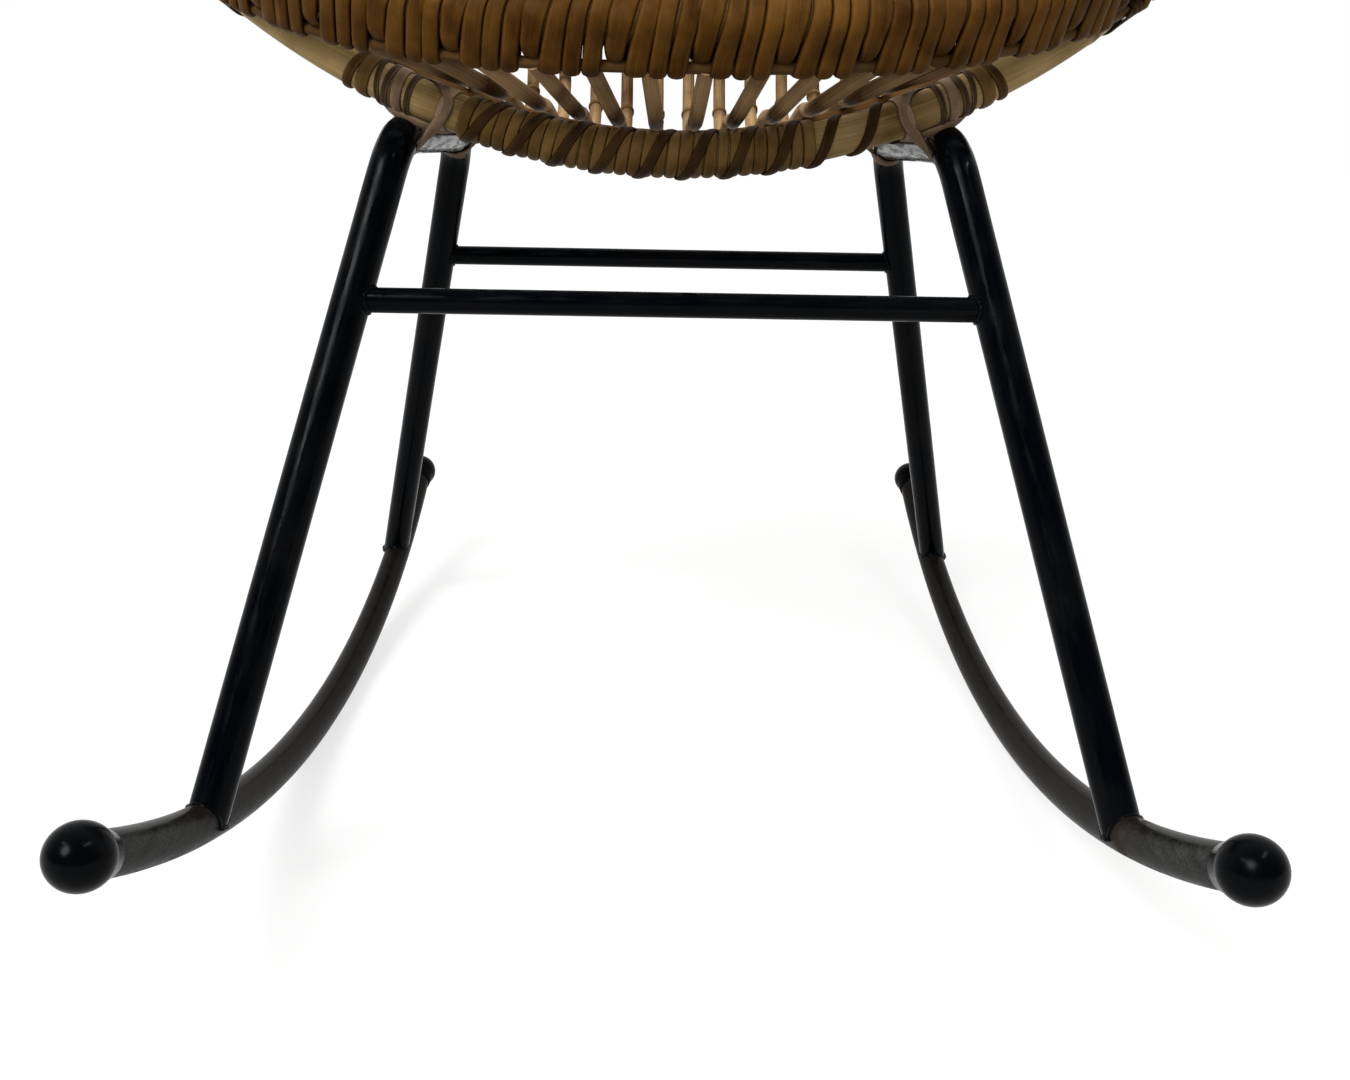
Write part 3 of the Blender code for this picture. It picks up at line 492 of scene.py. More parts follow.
# End caps: moulded black balls with a short skirt, pushed over the rockers' four cut ends.
# The skirt is a thin cone with a rounded lip that grips the tube.
CAP_BALL_RADIUS = 0.01375
CAP_SKIRT_MOUTH = 0.0108
CAP_SKIRT_ROOT = 0.0117
CAP_SKIRT_LENGTH = 0.016
CAP_LIP = 0.0006
CAP_SIDES = 40
CAP_BALL_STEPS = 22
CAP_LAST_TURN = 0.01
CAP_GLOSS = 0.045
CAP_ROUGHNESS = (0.16, 0.27)
CAP_RUB_NOISE = (90.0, 0.3, 0.7, 3.0)
CAP_DUST_NOISE = (180.0, 0.58, 0.80, 6.0)
CAP_BLACK = (0.0010, 0.0014, 0.0020, 1.0)
CAP_DUST = (0.0045, 0.0045, 0.0050, 1.0)


def cap_profile():
    """Places along the axis and radii there: the lip, the skirt's straight cone, then the ball's circle."""
    lip = [(CAP_LIP, TUBE_RADIUS - CAP_LIP), (0, CAP_SKIRT_MOUTH - CAP_LIP), (CAP_LIP, CAP_SKIRT_MOUTH)]
    neck = math.pi - math.asin(CAP_SKIRT_ROOT / CAP_BALL_RADIUS)
    ball = CAP_BALL_RADIUS * around(np.linspace(neck, CAP_LAST_TURN, CAP_BALL_STEPS), *np.eye(2))
    return np.concatenate([np.array(lip) - [CAP_SKIRT_LENGTH, 0], ball])


cap_gloss, shader, place, _ = new_finish("cap_gloss", CAP_GLOSS)
feed(shader.inputs["Base Color"], tint(cloud(place, CAP_DUST_NOISE), CAP_BLACK, CAP_DUST))
feed(shader.inputs["Roughness"], between(cloud(place, CAP_RUB_NOISE), results=CAP_ROUGHNESS))
profile = cap_profile()[..., None]
turn = np.arange(CAP_SIDES) * math.tau / CAP_SIDES
for side, hand in HANDS:
    arc = rocker_line(side)
    for end, tip, inner in (("front", arc[0], arc[1]), ("rear", arc[-1], arc[-2])):
        outward = unit(tip - inner)
        sideways = unit(np.cross(outward, UP))
        ring = around(turn, sideways, np.cross(outward, sideways))
        grid = tip + profile[:, :1] * outward + profile[:, 1:] * ring
        fit(surface(f"{end}_{hand}_cap_ball", [grid], cap_gloss), f"{end}_{hand}_cap")

# Seat hoop: one long rattan pole, skinned and bent into a closed hoop, low at the front and the back.
# It lies on the two rails. The pole keeps its growth rings and a long straight grain.
HOOP_RADIUS = 0.0098
HOOP_SIDES = 26
HOOP_STEPS = 560
HOOP_HALF_WIDTH = 0.25
HOOP_HALF_DEPTH = 0.108
HOOP_SQUARENESS = 0.75
HOOP_RISE = 0.093
HOOP_LOW = 0.36123
HOOP_PAINTED_LIGHT_REACH = (0.115, 0.165)
HOOP_TONES = (0.1, 1.4)
HOOP_SEED = 3
TURN_STEP = 0.01
EVEN_STEPS = 4000
RING_PITCH = 0.19
RING_BREADTH = 0.0030
RING_SWELL = 0.035
RING_STRAY = 0.25
RING_NOISE = (300.0, 0.1, 0.5, 3.0)
POLE_WAVER = 0.012
WAVER_LENGTHS = (0.043, 0.027)
POLE_DARK = (0.125, 0.072, 0.022, 1.0)
POLE_LIGHT = (0.470, 0.325, 0.140, 1.0)
POLE_RING = (0.080, 0.045, 0.016, 1.0)
SKIN_SHARES = (0.2, 1.8)
RATTAN_STRETCH = np.array([14.0, 46.0, 1.0])
RATTAN_SKIN = {
    "streaks": (1.0, 0.30, 0.70, 4.0),
    "blotches": (34.0, 0.34, 0.66, 3.0),
    "tones": (0.3, 2.7),
    "rough": (0.52, 0.34),
    "bump": (0.22, 0.0005),
}


def hoop_point(turn):
    """A place on the hoop's centreline: half width times sine, half depth times a squared-off cosine, and a
    height that rises with the square of the sine. Turn 0 is the front and a half turn is the back."""
    lean = np.cos(turn)
    depth = -HOOP_HALF_DEPTH * np.sign(lean) * np.abs(lean) ** HOOP_SQUARENESS
    height = HOOP_LOW + HOOP_RISE * np.sin(turn) ** 2
    return np.stack([HOOP_HALF_WIDTH * np.sin(turn), depth + length_shift, height], axis=-1)


def turned_axes(place, turn):
    """Tangent, outward and upward unit vectors of a level-ish loop at its turns."""
    tangent = unit(place(turn + TURN_STEP) - place(turn - TURN_STEP))
    outward = unit(np.cross(tangent, UP))
    return tangent, outward, np.cross(outward, tangent)


def even_turns(place, start, end, count):
    """Turns between two that part a curve into even lengths."""
    fine = np.linspace(start, end, EVEN_STEPS)
    run = run_along(place(fine))
    return np.interp(np.linspace(0, run[-1], count), run, fine)


def grown(run, radius, seed):
    """Radii along a pole and marks of its growth rings: a slow waver plus a narrow swelling at each ring."""
    chance = np.random.default_rng(seed)
    places = np.arange(chance.uniform(0, RING_PITCH), run[-1], RING_PITCH)
    places = places + chance.uniform(-RING_STRAY, RING_STRAY, len(places)) * RING_PITCH
    ring = np.exp(-(((run[:, None] - places) / RING_BREADTH) ** 2)).sum(axis=1)
    waver = POLE_WAVER
    for length in WAVER_LENGTHS:
        waver = waver * np.sin(run / length + chance.uniform(*PHASES))
    return radius * (1 + waver + RING_SWELL * ring), np.clip(ring, 0, 1)


def streaked(name, gloss, dark, light, stretch, streaks, blotches, tones, rough, bump):
    """A fibrous skin, as (material, shader, object coordinates, colour).

    Streaks along the map and slow blotches add up to a share, which leads the roughness. The share and the
    tone stored on the mesh lead the colour from dark to light. The streaks raise the skin.
    """
    finish, shader, place, flat = new_finish(name, gloss)
    fibres = cloud(flat, streaks, stretch)
    share = arithmetic("ADD", fibres, cloud(place, blotches))
    tone = arithmetic("ADD", share, mark(shader, "tone"))
    coat(shader, between(share, SKIN_SHARES, rough), fibres, bump)
    return finish, shader, place, tint(between(tone, tones), dark, light)


def rattan(name, dark, light, ring_colour, grain=1.0, gloss=0.03):
    """Skinned rattan: a streaked satin skin with dark, broken growth rings."""
    stretch = tuple(RATTAN_STRETCH * (1, grain, 1))
    finish, shader, place, colour = streaked(name, gloss, dark, light, stretch, **RATTAN_SKIN)
    rings = arithmetic("MULTIPLY", mark(shader, "ring"), cloud(place, RING_NOISE))
    feed(shader.inputs["Base Color"], tint(rings, colour, ring_colour))
    return finish


def pole(name, line, side, radius, sides, finish, seed, tone=0.5, closed=False):
    """A rattan pole along a line, swollen a little at its growth rings, with its tone and ring marks."""
    radii, ring = grown(run_along(line), radius, seed)
    rings = np.repeat(ring[:, None], sides, axis=1)
    tones = np.broadcast_to(np.reshape(tone, (-1, 1)), rings.shape)
    return surface(name, [tube(line, side, radii, sides, closed)], finish, closed, tone=[tones], ring=[rings])


pole_rattan = rattan("pole_rattan_skin", POLE_DARK, POLE_LIGHT, POLE_RING)
line = hoop_point(even_turns(hoop_point, 0, math.tau, HOOP_STEPS + 1)[:-1])
# Painted light: the hoop's bare sides, out past the wraps, are painted paler to make up for the shade that
# the rim casts on them.
tone = np.interp(np.abs(line[:, 0]), HOOP_PAINTED_LIGHT_REACH, HOOP_TONES)
hoop = pole("seat_hoop_pole", line, UP, HOOP_RADIUS, HOOP_SIDES, pole_rattan, HOOP_SEED, tone, closed=True)
fit(hoop, "seat_hoop")

# Rim: a thick upper pole and a thin lower pole run round the whole shell, one above the other.
# It starts low in front, swings out over the hoop at the sides and climbs to the top of the back.
RIM_UPPER_RADIUS = 0.0112
RIM_LOWER_RADIUS = 0.0029
RIM_SPACING = 0.0200
RIM_HALF_WIDTH = 0.31
RIM_FRONT = (-0.15439, 0.40107)
RIM_BACK = (0.345, 0.715)
RIM_SWEEP = 1.23
RIM_STEPS = 620
RIM_UPPER_SIDES = 24
RIM_LOWER_SIDES = 16
RIM_SEEDS = (5, 6)
RIM_DARK = (0.048, 0.021, 0.005, 1.0)
RIM_LIGHT = (0.120, 0.062, 0.020, 1.0)


def rim_lower_point(turn):
    """A place on the lower rim pole: an ellipse seen from above, whose height climbs from front to back with
    a power of (1 - cosine) / 2."""
    climb = ((1 - np.cos(turn)) / 2) ** RIM_SWEEP
    middle, reach = (RIM_FRONT[0] + RIM_BACK[0]) / 2, (RIM_BACK[0] - RIM_FRONT[0]) / 2
    depth = middle - reach * np.cos(turn) + length_shift
    height = RIM_FRONT[1] + (RIM_BACK[1] - RIM_FRONT[1]) * climb
    return np.stack([RIM_HALF_WIDTH * np.sin(turn), depth, height], axis=-1)


def rim_upper_point(turn):
    """A place on the upper rim pole, square above the lower one."""
    return rim_lower_point(turn) + RIM_SPACING * turned_axes(rim_lower_point, turn)[2]


rim_rattan = rattan("rim_rattan_skin", RIM_DARK, RIM_LIGHT, POLE_RING)
turns = even_turns(rim_lower_point, 0, math.tau, RIM_STEPS + 1)[:-1]
rim_poles = (
    ("upper", rim_upper_point, RIM_UPPER_RADIUS, RIM_UPPER_SIDES),
    ("lower", rim_lower_point, RIM_LOWER_RADIUS, RIM_LOWER_SIDES),
)
for seed, (level, place, radius, sides) in zip(RIM_SEEDS, rim_poles):
    made = pole(f"rim_{level}_pole_skin", place(turns), UP, radius, sides, rim_rattan, seed, closed=True)
    fit(made, f"rim_{level}_pole")

# Rods: thin rattan core rods line the seat and the back. The middle twelve start under the front rim,
# pass over the hoop and climb the back to the rim; three more on each flank start inside the hoop.
ROD_RADIUS = 0.0040
ROD_SIDES = 14
ROD_LIFT = 0.01730
ROD_SEAT_PITCH = 0.0216
ROD_FRONT_PITCH = 0.0274
ROD_BACK_PITCH = 0.0256
ROD_BACK_BULGE = 0.040
RODS_EACH_SIDE = 6
FLANK_RODS = 3
FLANK_OUTERMOST = 0.2095
FLANK_INSET = 0.0127
SEAT_SPAN_STEPS = 10
BACK_SPAN_STEPS = 14
ROD_TONE_SEED = 11
ROD_SEED = 30
ROD_TONE_SPREAD = 0.45
ROD_PAINTED_SHADE = 1.5
ROD_PAINTED_SHADE_REACH = 0.016
ROD_BACK_SHADE = 0.85
ROD_FRONT_TONE = 0.85
ROD_GRAIN = 0.5
ROD_GLOSS = 0.004
ROD_DARK = (0.060, 0.030, 0.010, 1.0)
ROD_LIGHT = (0.450, 0.285, 0.140, 1.0)
ROD_RING = (0.040, 0.020, 0.009, 1.0)


def smooth(controls, steps):
    """A curve through control points: in each span a cubic whose slope at a point is half the step between
    that point's neighbours."""
    controls = np.asarray(controls, float)
    padded = np.concatenate([[2 * controls[0] - controls[1]], controls, [2 * controls[-1] - controls[-2]]])
    spans = []
    for span, count in enumerate(steps):
        before, start, end, after = padded[span : span + 4]
        share = np.arange(count)[:, None] / count
        bend = before - 2.5 * start + 2 * end - after / 2
        twist = 1.5 * (start - end) + (after - before) / 2
        spans.append(start + share * (end - before) / 2 + share**2 * bend + share**3 * twist)
    return np.concatenate(spans + [controls[-1:]])


def hoop_top(turn):
    """Where a rod's centreline crosses the top of the hoop."""
    return hoop_point(turn) + ROD_LIFT * turned_axes(hoop_point, turn)[2]


def seat_height(x):
    """The height of the rods' centrelines in the middle of the seat, which rises as the hoop does."""
    return HOOP_LOW + HOOP_RISE * (x / HOOP_HALF_WIDTH) ** 2 + ROD_LIFT


def rod_controls(place, from_rim):
    """Control points of a seat or flank rod at a place counted in pitches from the middle."""
    x = place * ROD_SEAT_PITCH
    turn = math.asin(x / HOOP_HALF_WIDTH)
    rear = hoop_top(math.pi - turn)
    top = rim_lower_point(math.pi - math.asin(place * ROD_BACK_PITCH / RIM_HALF_WIDTH))
    back = (rear + top) / 2 + ROD_BACK_BULGE * unit(LENGTHWISE - UP)
    if from_rim:
        start = [rim_lower_point(math.asin(place * ROD_FRONT_PITCH / RIM_HALF_WIDTH)), hoop_top(turn)]
    else:
        start = [hoop_point(turn) - FLANK_INSET * turned_axes(hoop_point, turn)[1]]
    return [*start, np.array([x, length_shift, seat_height(x)]), rear, back, top]


rod_rattan = rattan("rod_rattan_skin", ROD_DARK, ROD_LIGHT, ROD_RING, ROD_GRAIN, ROD_GLOSS)
flank_start = FLANK_OUTERMOST / ROD_SEAT_PITCH - FLANK_RODS
rods = []
for side, hand in HANDS:
    for number in range(1, RODS_EACH_SIDE + 1):
        rods.append((f"seat_rod_{hand}_{number}", side * (number - 0.5), True))
    for number in range(1, FLANK_RODS + 1):
        rods.append((f"flank_rod_{hand}_{number}", side * (flank_start + number), False))
chance = np.random.default_rng(ROD_TONE_SEED)
rod_tops, rod_lines = [], {}
for seed, (name, place, from_rim) in enumerate(sorted(rods, key=lambda rod: rod[1]), ROD_SEED):
    controls = rod_controls(place, from_rim)
    rod_tops.append(controls[-3:])
    line = smooth(controls, [SEAT_SPAN_STEPS] * (len(controls) - 3) + [BACK_SPAN_STEPS] * 2)
    rod_lines[name] = line
    tone = ROD_FRONT_TONE + chance.uniform(-ROD_TONE_SPREAD, ROD_TONE_SPREAD)
    from_hoop = np.linalg.norm(line - controls[1], axis=1)
    # Painted shade: each seat rod is painted darker where it crosses the hoop, for the shade on its foot
    # there.
    tone = tone - ROD_PAINTED_SHADE * np.exp(-((from_hoop / ROD_PAINTED_SHADE_REACH) ** 2)) * from_rim
    tone[-2 * BACK_SPAN_STEPS :] -= ROD_BACK_SHADE
    rod = pole(f"{name}_cane", line, ACROSS, ROD_RADIUS, ROD_SIDES, rod_rattan, seed, tone)
    fit(rod, name)

# Arm rods: four a side stand on the hoop and lean out to the rim under each arm.
# They are the same rattan core as the seat rods, with their feet bent in over the hoop.
ARM_RODS = 4
ARM_HOOP_TURNS = (math.radians(93), math.radians(118.2))
ARM_RIM_TURNS = (math.radians(78), math.radians(117))
ARM_STUB = 0.008
ARM_LIFT = 0.0138
ARM_STEPS = (4, 24)
ARM_TONE = 0.5
ARM_SEEDS = {"left": 50, "right": 70}
first, last = zip(ARM_HOOP_TURNS, ARM_RIM_TURNS)
for side, hand in HANDS:
    for number, (foot, head) in enumerate(side * np.linspace(first, last, ARM_RODS), 1):
        tangent, outward, upward = turned_axes(hoop_point, foot)
        outward = outward * np.sign(outward[0]) * side
        seat = hoop_point(foot) + ARM_LIFT * upward
        line = smooth([seat - ARM_STUB * outward, seat, rim_lower_point(head)], ARM_STEPS)
        tone = ARM_TONE + chance.uniform(-ROD_TONE_SPREAD, ROD_TONE_SPREAD)
        name, seed = f"arm_rod_{hand}_{number}", ARM_SEEDS[hand] + number
        rod = pole(f"{name}_cane", line, tangent, ROD_RADIUS, ROD_SIDES, rod_rattan, seed, tone)
        fit(rod, name)

# Bearer and weavers: a 12 mm pole under the seat rods, set between the hoop's sides, and two thin rods
# that run along both faces of the back rods and hold them in line.
BEARER_RADIUS = 0.0059
BEARER_DROP = 0.0101
BEARER_REACH = 0.236
BEARER_STEPS = 120
BEARER_SIDES = 18
BEARER_TONE = 0.4
BEARER_SEED = 8
WEAVER_RADIUS = 0.0030
WEAVER_OFFSET = 0.0076
WEAVER_OVERHANG = 0.014
WEAVER_SPAN_STEPS = 6
WEAVER_SIDES = 12
WEAVER_TONE = 0.3
WEAVER_SEED = 90
x = np.linspace(-BEARER_REACH, BEARER_REACH, BEARER_STEPS)
slope = 2 * HOOP_RISE * x / HOOP_HALF_WIDTH**2
height = seat_height(x) - BEARER_DROP * np.hypot(1, slope)
line = np.stack([x, np.full_like(x, length_shift), height], axis=1)
sizes = (BEARER_RADIUS, BEARER_SIDES)
# Painted shade: the bearer takes the darker rim rattan, for the shadow under the seat rods where it lies.
bearer = pole("seat_bearer_pole", line, LENGTHWISE, *sizes, rim_rattan, BEARER_SEED, BEARER_TONE)
fit(bearer, "seat_bearer")
for face, direction in (("inner", -1), ("outer", 1)):
    knots = []
    for rear, back, top in rod_tops:
        climb = unit(top - rear)
        knots.append(back + direction * WEAVER_OFFSET * unit(np.array([0, climb[2], -climb[1]])))
    start = knots[0] + WEAVER_OVERHANG * unit(knots[0] - knots[1])
    end = knots[-1] + WEAVER_OVERHANG * unit(knots[-1] - knots[-2])
    line = smooth([start, *knots, end], [WEAVER_SPAN_STEPS] * (len(knots) + 1))
    sizes, seed = (WEAVER_RADIUS, WEAVER_SIDES), WEAVER_SEED + direction
    weaver = pole(f"back_weaver_{face}_cane", line, UP, *sizes, rod_rattan, seed, WEAVER_TONE)
    fit(weaver, f"back_weaver_{face}")

# Rim binding: split cane, wound without a break along the two rim poles. Three turns go round both poles,
# then one broader turn goes round the upper pole alone, which leaves small gaps over the lower pole. Where
# the rim is lashed to the hoop, all turns keep to the upper pole.
BINDING_NARROW = 0.0088
BINDING_BROAD = 0.0122
BINDING_GAP = 0.0002
BINDING_THICKNESS = 0.0024
BINDING_BROAD_THIN = 0.75
BINDING_SAG = 0.0084
BINDING_TAPER = 0.22
BINDING_DRIFT = 0.0012
BINDING_SAG_RADIUS = 0.0080
BINDING_SEAT = 0.0001
BINDING_GROUP = 4
BINDING_PHASE = 0.0154
BINDING_RINGS = 30
BINDING_ARC_STEPS = 200
BINDING_FRONT_SHARE = 0.78
BINDING_SHAKE = 0.0005
BINDING_UNEVEN = 0.045
BINDING_SLANT = 0.30
BINDING_LASHED = 0.889
BINDING_LASHED_REACH = 0.014
BINDING_TONES = (0.5, 0.32)
BINDING_TONE_ENDS = (-0.1, 1.1)
BINDING_BROAD_SHADE = 0.25
BINDING_SEED = 100
RIM_PARTS = (("front", -0.85, 0.85), ("right", 0.85, 2.13), ("back", 2.13, 4.153), ("left", 4.153, 5.433))
RIM_OVERRUN = 0.6
RIM_FINE_STEPS = 9000
STRIP_CROWN = ((1.0, 0.0), (1.0, 0.22), (0.84, 0.60), (0.48, 0.89))
STRIP_PROFILE = np.array([*STRIP_CROWN, (0.0, 1.0), *((-side, rise) for side, rise in STRIP_CROWN[::-1])])
CANE_GLOSS = 0.04
CANE_SKIN = {
    "stretch": (22.0, 60.0, 1.0),
    "streaks": (1.0, 0.28, 0.72, 4.0),
    "blotches": (55.0, 0.36, 0.66, 4.0),
    "tones": (0.4, 2.6),
    "rough": (0.56, 0.36),
    "bump": (0.25, 0.0004),
}
CANE_DARK = (0.036, 0.0125, 0.0010, 1.0)
CANE_LIGHT = (0.140, 0.062, 0.010, 1.0)
CANE_EDGE = (0.010, 0.004, 0.001, 1.0)
CANE_BURN = 0.55
CANE_WEAR_AND_SHEEN = 0.55
CANE_EDGE_SHADE = 0.85
BURN_NOISE = (38.0, 0.52, 0.72, 4.0)
WEAR_AND_SHEEN_NOISE = (90.0, 0.35, 0.6, 3.0)
WORN_AND_SHEEN_PART = (0.45, 0.80)
DARK_PART = (0.82, 1.0)


def cane(name, dark, light, edge):
    """Split cane: a streaked skin with a tone for each turn, brown stains, a pale line beside each edge that
    is part wear and part painted highlight, and dark edges that are painted shade of the gaps between strips."""
    finish, shader, place, colour = streaked(name, CANE_GLOSS, dark, light, **CANE_SKIN)
    colour = tint(arithmetic("MULTIPLY", cloud(place, BURN_NOISE), CANE_BURN), colour, edge)
    from_middle = mark(shader, "edge")
    # Pale line beside each edge: part wear, part painted highlight.
    worn_and_sheen = between(from_middle, WORN_AND_SHEEN_PART, (0.0, CANE_WEAR_AND_SHEEN))
    colour = tint(arithmetic("MULTIPLY", worn_and_sheen, cloud(place, WEAR_AND_SHEEN_NOISE)), colour, light)
    # Dark edges: painted shade of the gaps between the strips.
    edges = between(from_middle, DARK_PART, (0.0, CANE_EDGE_SHADE))
    feed(shader.inputs["Base Color"], tint(edges, colour, edge))
    return finish


def at(places, run, table):
    """The rows of a table at places along its run, straight between its own rows."""
    return np.stack([np.interp(places, run, column) for column in table.T], axis=1)


def strip(line, outward, width, thickness, tone):
    """A strip of cane along a line, and its tone and edge marks, as (grid, tone, edge).

    At each place the strip's crowned profile stands on the line: its first number times half the width goes
    sideways and its second number times the thickness goes outward.
    """
    along = unit(np.gradient(line, axis=0))
    sideways = unit(np.cross(outward, along))
    outward = np.cross(along, sideways)
    width, thickness = (np.broadcast_to(size, len(line))[:, None, None] for size in (width, thickness))
    grid = line[:, None] + width / 2 * STRIP_PROFILE[None, :, :1] * sideways[:, None]
    grid = grid + thickness * STRIP_PROFILE[None, :, 1:] * outward[:, None]
    tone = np.repeat(np.broadcast_to(tone, len(line))[:, None], len(STRIP_PROFILE), axis=1)
    edge = np.repeat(np.abs(STRIP_PROFILE[None, :, 0]), len(line), axis=0)
    return grid, tone, edge


def bind(name, strips, finish):
    """One mesh from strips, each a (grid, tone, edge)."""
    grids, tones, edges = zip(*strips)
    return surface(name, grids, finish, tone=tones, edge=edges)


def wound_round(lower, height):
    """The outline round the upper rim pole and a lower circle at a height, from the top and inwards.

    It is made of arcs joined by straight lines that touch both circles. Returns places, as (outward, upward)
    from the lower pole's middle, and facings, both at even shares of the way round.
    """
    upper = RIM_UPPER_RADIUS + BINDING_SEAT
    dip = math.asin((upper - lower) / (RIM_SPACING - height))
    arcs = (
        (upper, RIM_SPACING, 0.5 * math.pi, math.pi + dip),
        (lower, height, math.pi + dip, 2 * math.pi - dip),
        (upper, RIM_SPACING, 2 * math.pi - dip, 2.5 * math.pi),
    )
    places, facings = [], []
    for radius, middle, start, end in arcs:
        facing = around(np.linspace(start, end, BINDING_ARC_STEPS), *np.eye(2))
        places.append(radius * facing + [0, middle])
        facings.append(facing)
    places = np.concatenate(places)
    run = run_along(places)
    even = np.linspace(0, run[-1], BINDING_RINGS + 1)[:-1]
    return at(even, run, places), unit(at(even, run, np.concatenate(facings)))


def rim_run(turn):
    """The distance along the lower rim pole from the middle of its front to a turn."""
    return np.interp(turn, fine_turns, fine_run)


def one_winding():
    """Places along the rim, widths and kinds of all the binding's turns: groups of one broad turn and its
    narrow ones, fitted to the rim's length. Kind 0 goes round both poles, 1 and 2 round the upper one."""
    period = (BINDING_GROUP - 1) * (BINDING_NARROW + BINDING_GAP) + BINDING_BROAD + BINDING_GAP
    groups = round(rim_length / period)
    kind = (np.arange(groups * BINDING_GROUP) % BINDING_GROUP == 0).astype(int)
    width = np.where(kind == 1, BINDING_BROAD, BINDING_NARROW) + BINDING_GAP
    centres = np.cumsum(width) - width / 2
    centres = (centres - centres[0]) * rim_length / (groups * period) + BINDING_PHASE
    for turn in (BINDING_LASHED, math.tau - BINDING_LASHED):
        kind[abs(centres - rim_run(turn)) < BINDING_LASHED_REACH] = 2
    return centres, width - BINDING_GAP, kind


cane_skin = cane("cane_skin", CANE_DARK, CANE_LIGHT, CANE_EDGE)
shapes = (
    wound_round(RIM_LOWER_RADIUS + BINDING_SEAT, 0.0),
    wound_round(BINDING_SAG_RADIUS, RIM_SPACING - BINDING_SAG),
    wound_round(RIM_UPPER_RADIUS - BINDING_GAP, RIM_SPACING - 4 * BINDING_GAP),
)
outlines = [np.stack(tables) for tables in zip(*shapes)]
fine_turns = np.linspace(-math.pi, math.tau + RIM_OVERRUN, RIM_FINE_STEPS)
fine_run = run_along(rim_lower_point(fine_turns))
fine_run -= rim_run(0.0)
rim_length = rim_run(math.tau)
all_centres, all_widths, all_kinds = one_winding()
for seed, (part, *ends) in enumerate(RIM_PARTS, BINDING_SEED):
    chance = np.random.default_rng(seed)
    start, end = rim_run(ends)
    places = np.where(all_centres > end, all_centres - rim_length, all_centres)
    order = np.argsort(places)
    order = order[(places[order] >= start) & (places[order] < end)]
    count, kind = len(order), all_kinds[order]
    centres = places[order] + chance.normal(0, BINDING_SHAKE, count)
    width = all_widths[order] * (1 + chance.normal(0, BINDING_UNEVEN, count))
    tone = np.clip(chance.normal(*BINDING_TONES, count), *BINDING_TONE_ENDS)
    tone = tone - BINDING_BROAD_SHADE * (kind == 1)
    depth = np.where(kind == 1, BINDING_BROAD_THIN, 1.0) * BINDING_THICKNESS
    turn_number, ring_number = np.divmod(np.arange(count * BINDING_RINGS), BINDING_RINGS)
    share = ring_number / BINDING_RINGS
    slant = BINDING_SLANT * (1 - np.cos(math.tau * share)) / 2
    step = turn_number + share - slant - BINDING_FRONT_SHARE
    table = np.stack([centres, width, depth, tone], axis=1)
    along, width, depth, tone = at(step, np.arange(count), table).T
    along = along + np.minimum(step, 0) * (centres[1] - centres[0])
    spots, facing = (outline[kind[turn_number], ring_number] for outline in outlines)
    low = np.where(kind[turn_number] == 1, np.clip(-facing[:, 1], 0, 1), 0)
    turn = np.interp(along + BINDING_DRIFT * low, fine_run, fine_turns)
    _, outward, upward = turned_axes(rim_lower_point, turn)
    line = rim_lower_point(turn) + spots[:, :1] * outward + spots[:, 1:] * upward
    facing = facing[:, :1] * outward + facing[:, 1:] * upward
    winding = strip(line, facing, width * (1 - BINDING_TAPER * low), depth, tone)
    fit(bind(f"rim_{part}_winding", [winding], cane_skin), f"rim_{part}_binding")

# Hoop binding: the hoop is wound close with pale split cane wherever the rods rest on it, front and back.
# Between the legs a darker strip runs over it as an open spiral, one turn for each rod.
HOOP_WRAPS = (
    ("hoop_front_wraps", False, (-0.108, 0.070)),
    ("hoop_rear_wraps", True, (-0.110, 0.110)),
    ("hoop_rear_left_wraps", True, (-0.2185, -0.1570)),
    ("hoop_rear_right_wraps", True, (0.1570, 0.2185)),
)
HOOP_WRAP_PITCH = 0.0061
HOOP_WRAP_WIDTH = 0.0061
HOOP_WRAP_UNEVEN = 0.05
HOOP_WRAP_TONES = (0.5, 0.22)
HOOP_WRAP_THICKNESS = 0.0017
HOOP_WRAP_RINGS = 28
HOOP_WRAP_FINE_STEPS = 400
HOOP_WRAP_SEED = 120
HOOP_STRIP_SEAT = 0.0002
HOOP_STRIP_RADIUS = HOOP_RADIUS + HOOP_STRIP_SEAT
SPIRAL_FIRST_TOP = -0.0884
SPIRAL_TURNS = 10
SPIRAL_RISE = 0.0170
SPIRAL_WIDTH = 0.0056
SPIRAL_THICKNESS = 0.0013
SPIRAL_SINK = 0.85
SPIRAL_STEP_DOWN = 0.006
SPIRAL_TONES = (0.5, 0.3, 0.37)
SPIRAL_RINGS = 44
TIE_TURNS = ((0.1565, 0.0010, 0.0076, 0.9), (0.1628, 0.0055, 0.0054, -0.5))
RING_ADVANCE = 0.0010
WRAP_DARK = (0.062, 0.029, 0.0060, 1.0)
WRAP_LIGHT = (0.200, 0.115, 0.0360, 1.0)
WRAP_EDGE = (0.012, 0.005, 0.0015, 1.0)
SPIRAL_DARK = (0.016, 0.0075, 0.0026, 1.0)
SPIRAL_LIGHT = (0.060, 0.029, 0.0080, 1.0)
SPIRAL_EDGE = (0.006, 0.003, 0.0010, 1.0)


def hoop_axes(x, rear):
    """Places on the hoop's centreline at distances from the middle, and outward and upward vectors there."""
    turn = np.arcsin(x / HOOP_HALF_WIDTH)
    turn = math.pi - turn if rear else turn
    return hoop_point(turn), *turned_axes(hoop_point, turn)[1:]


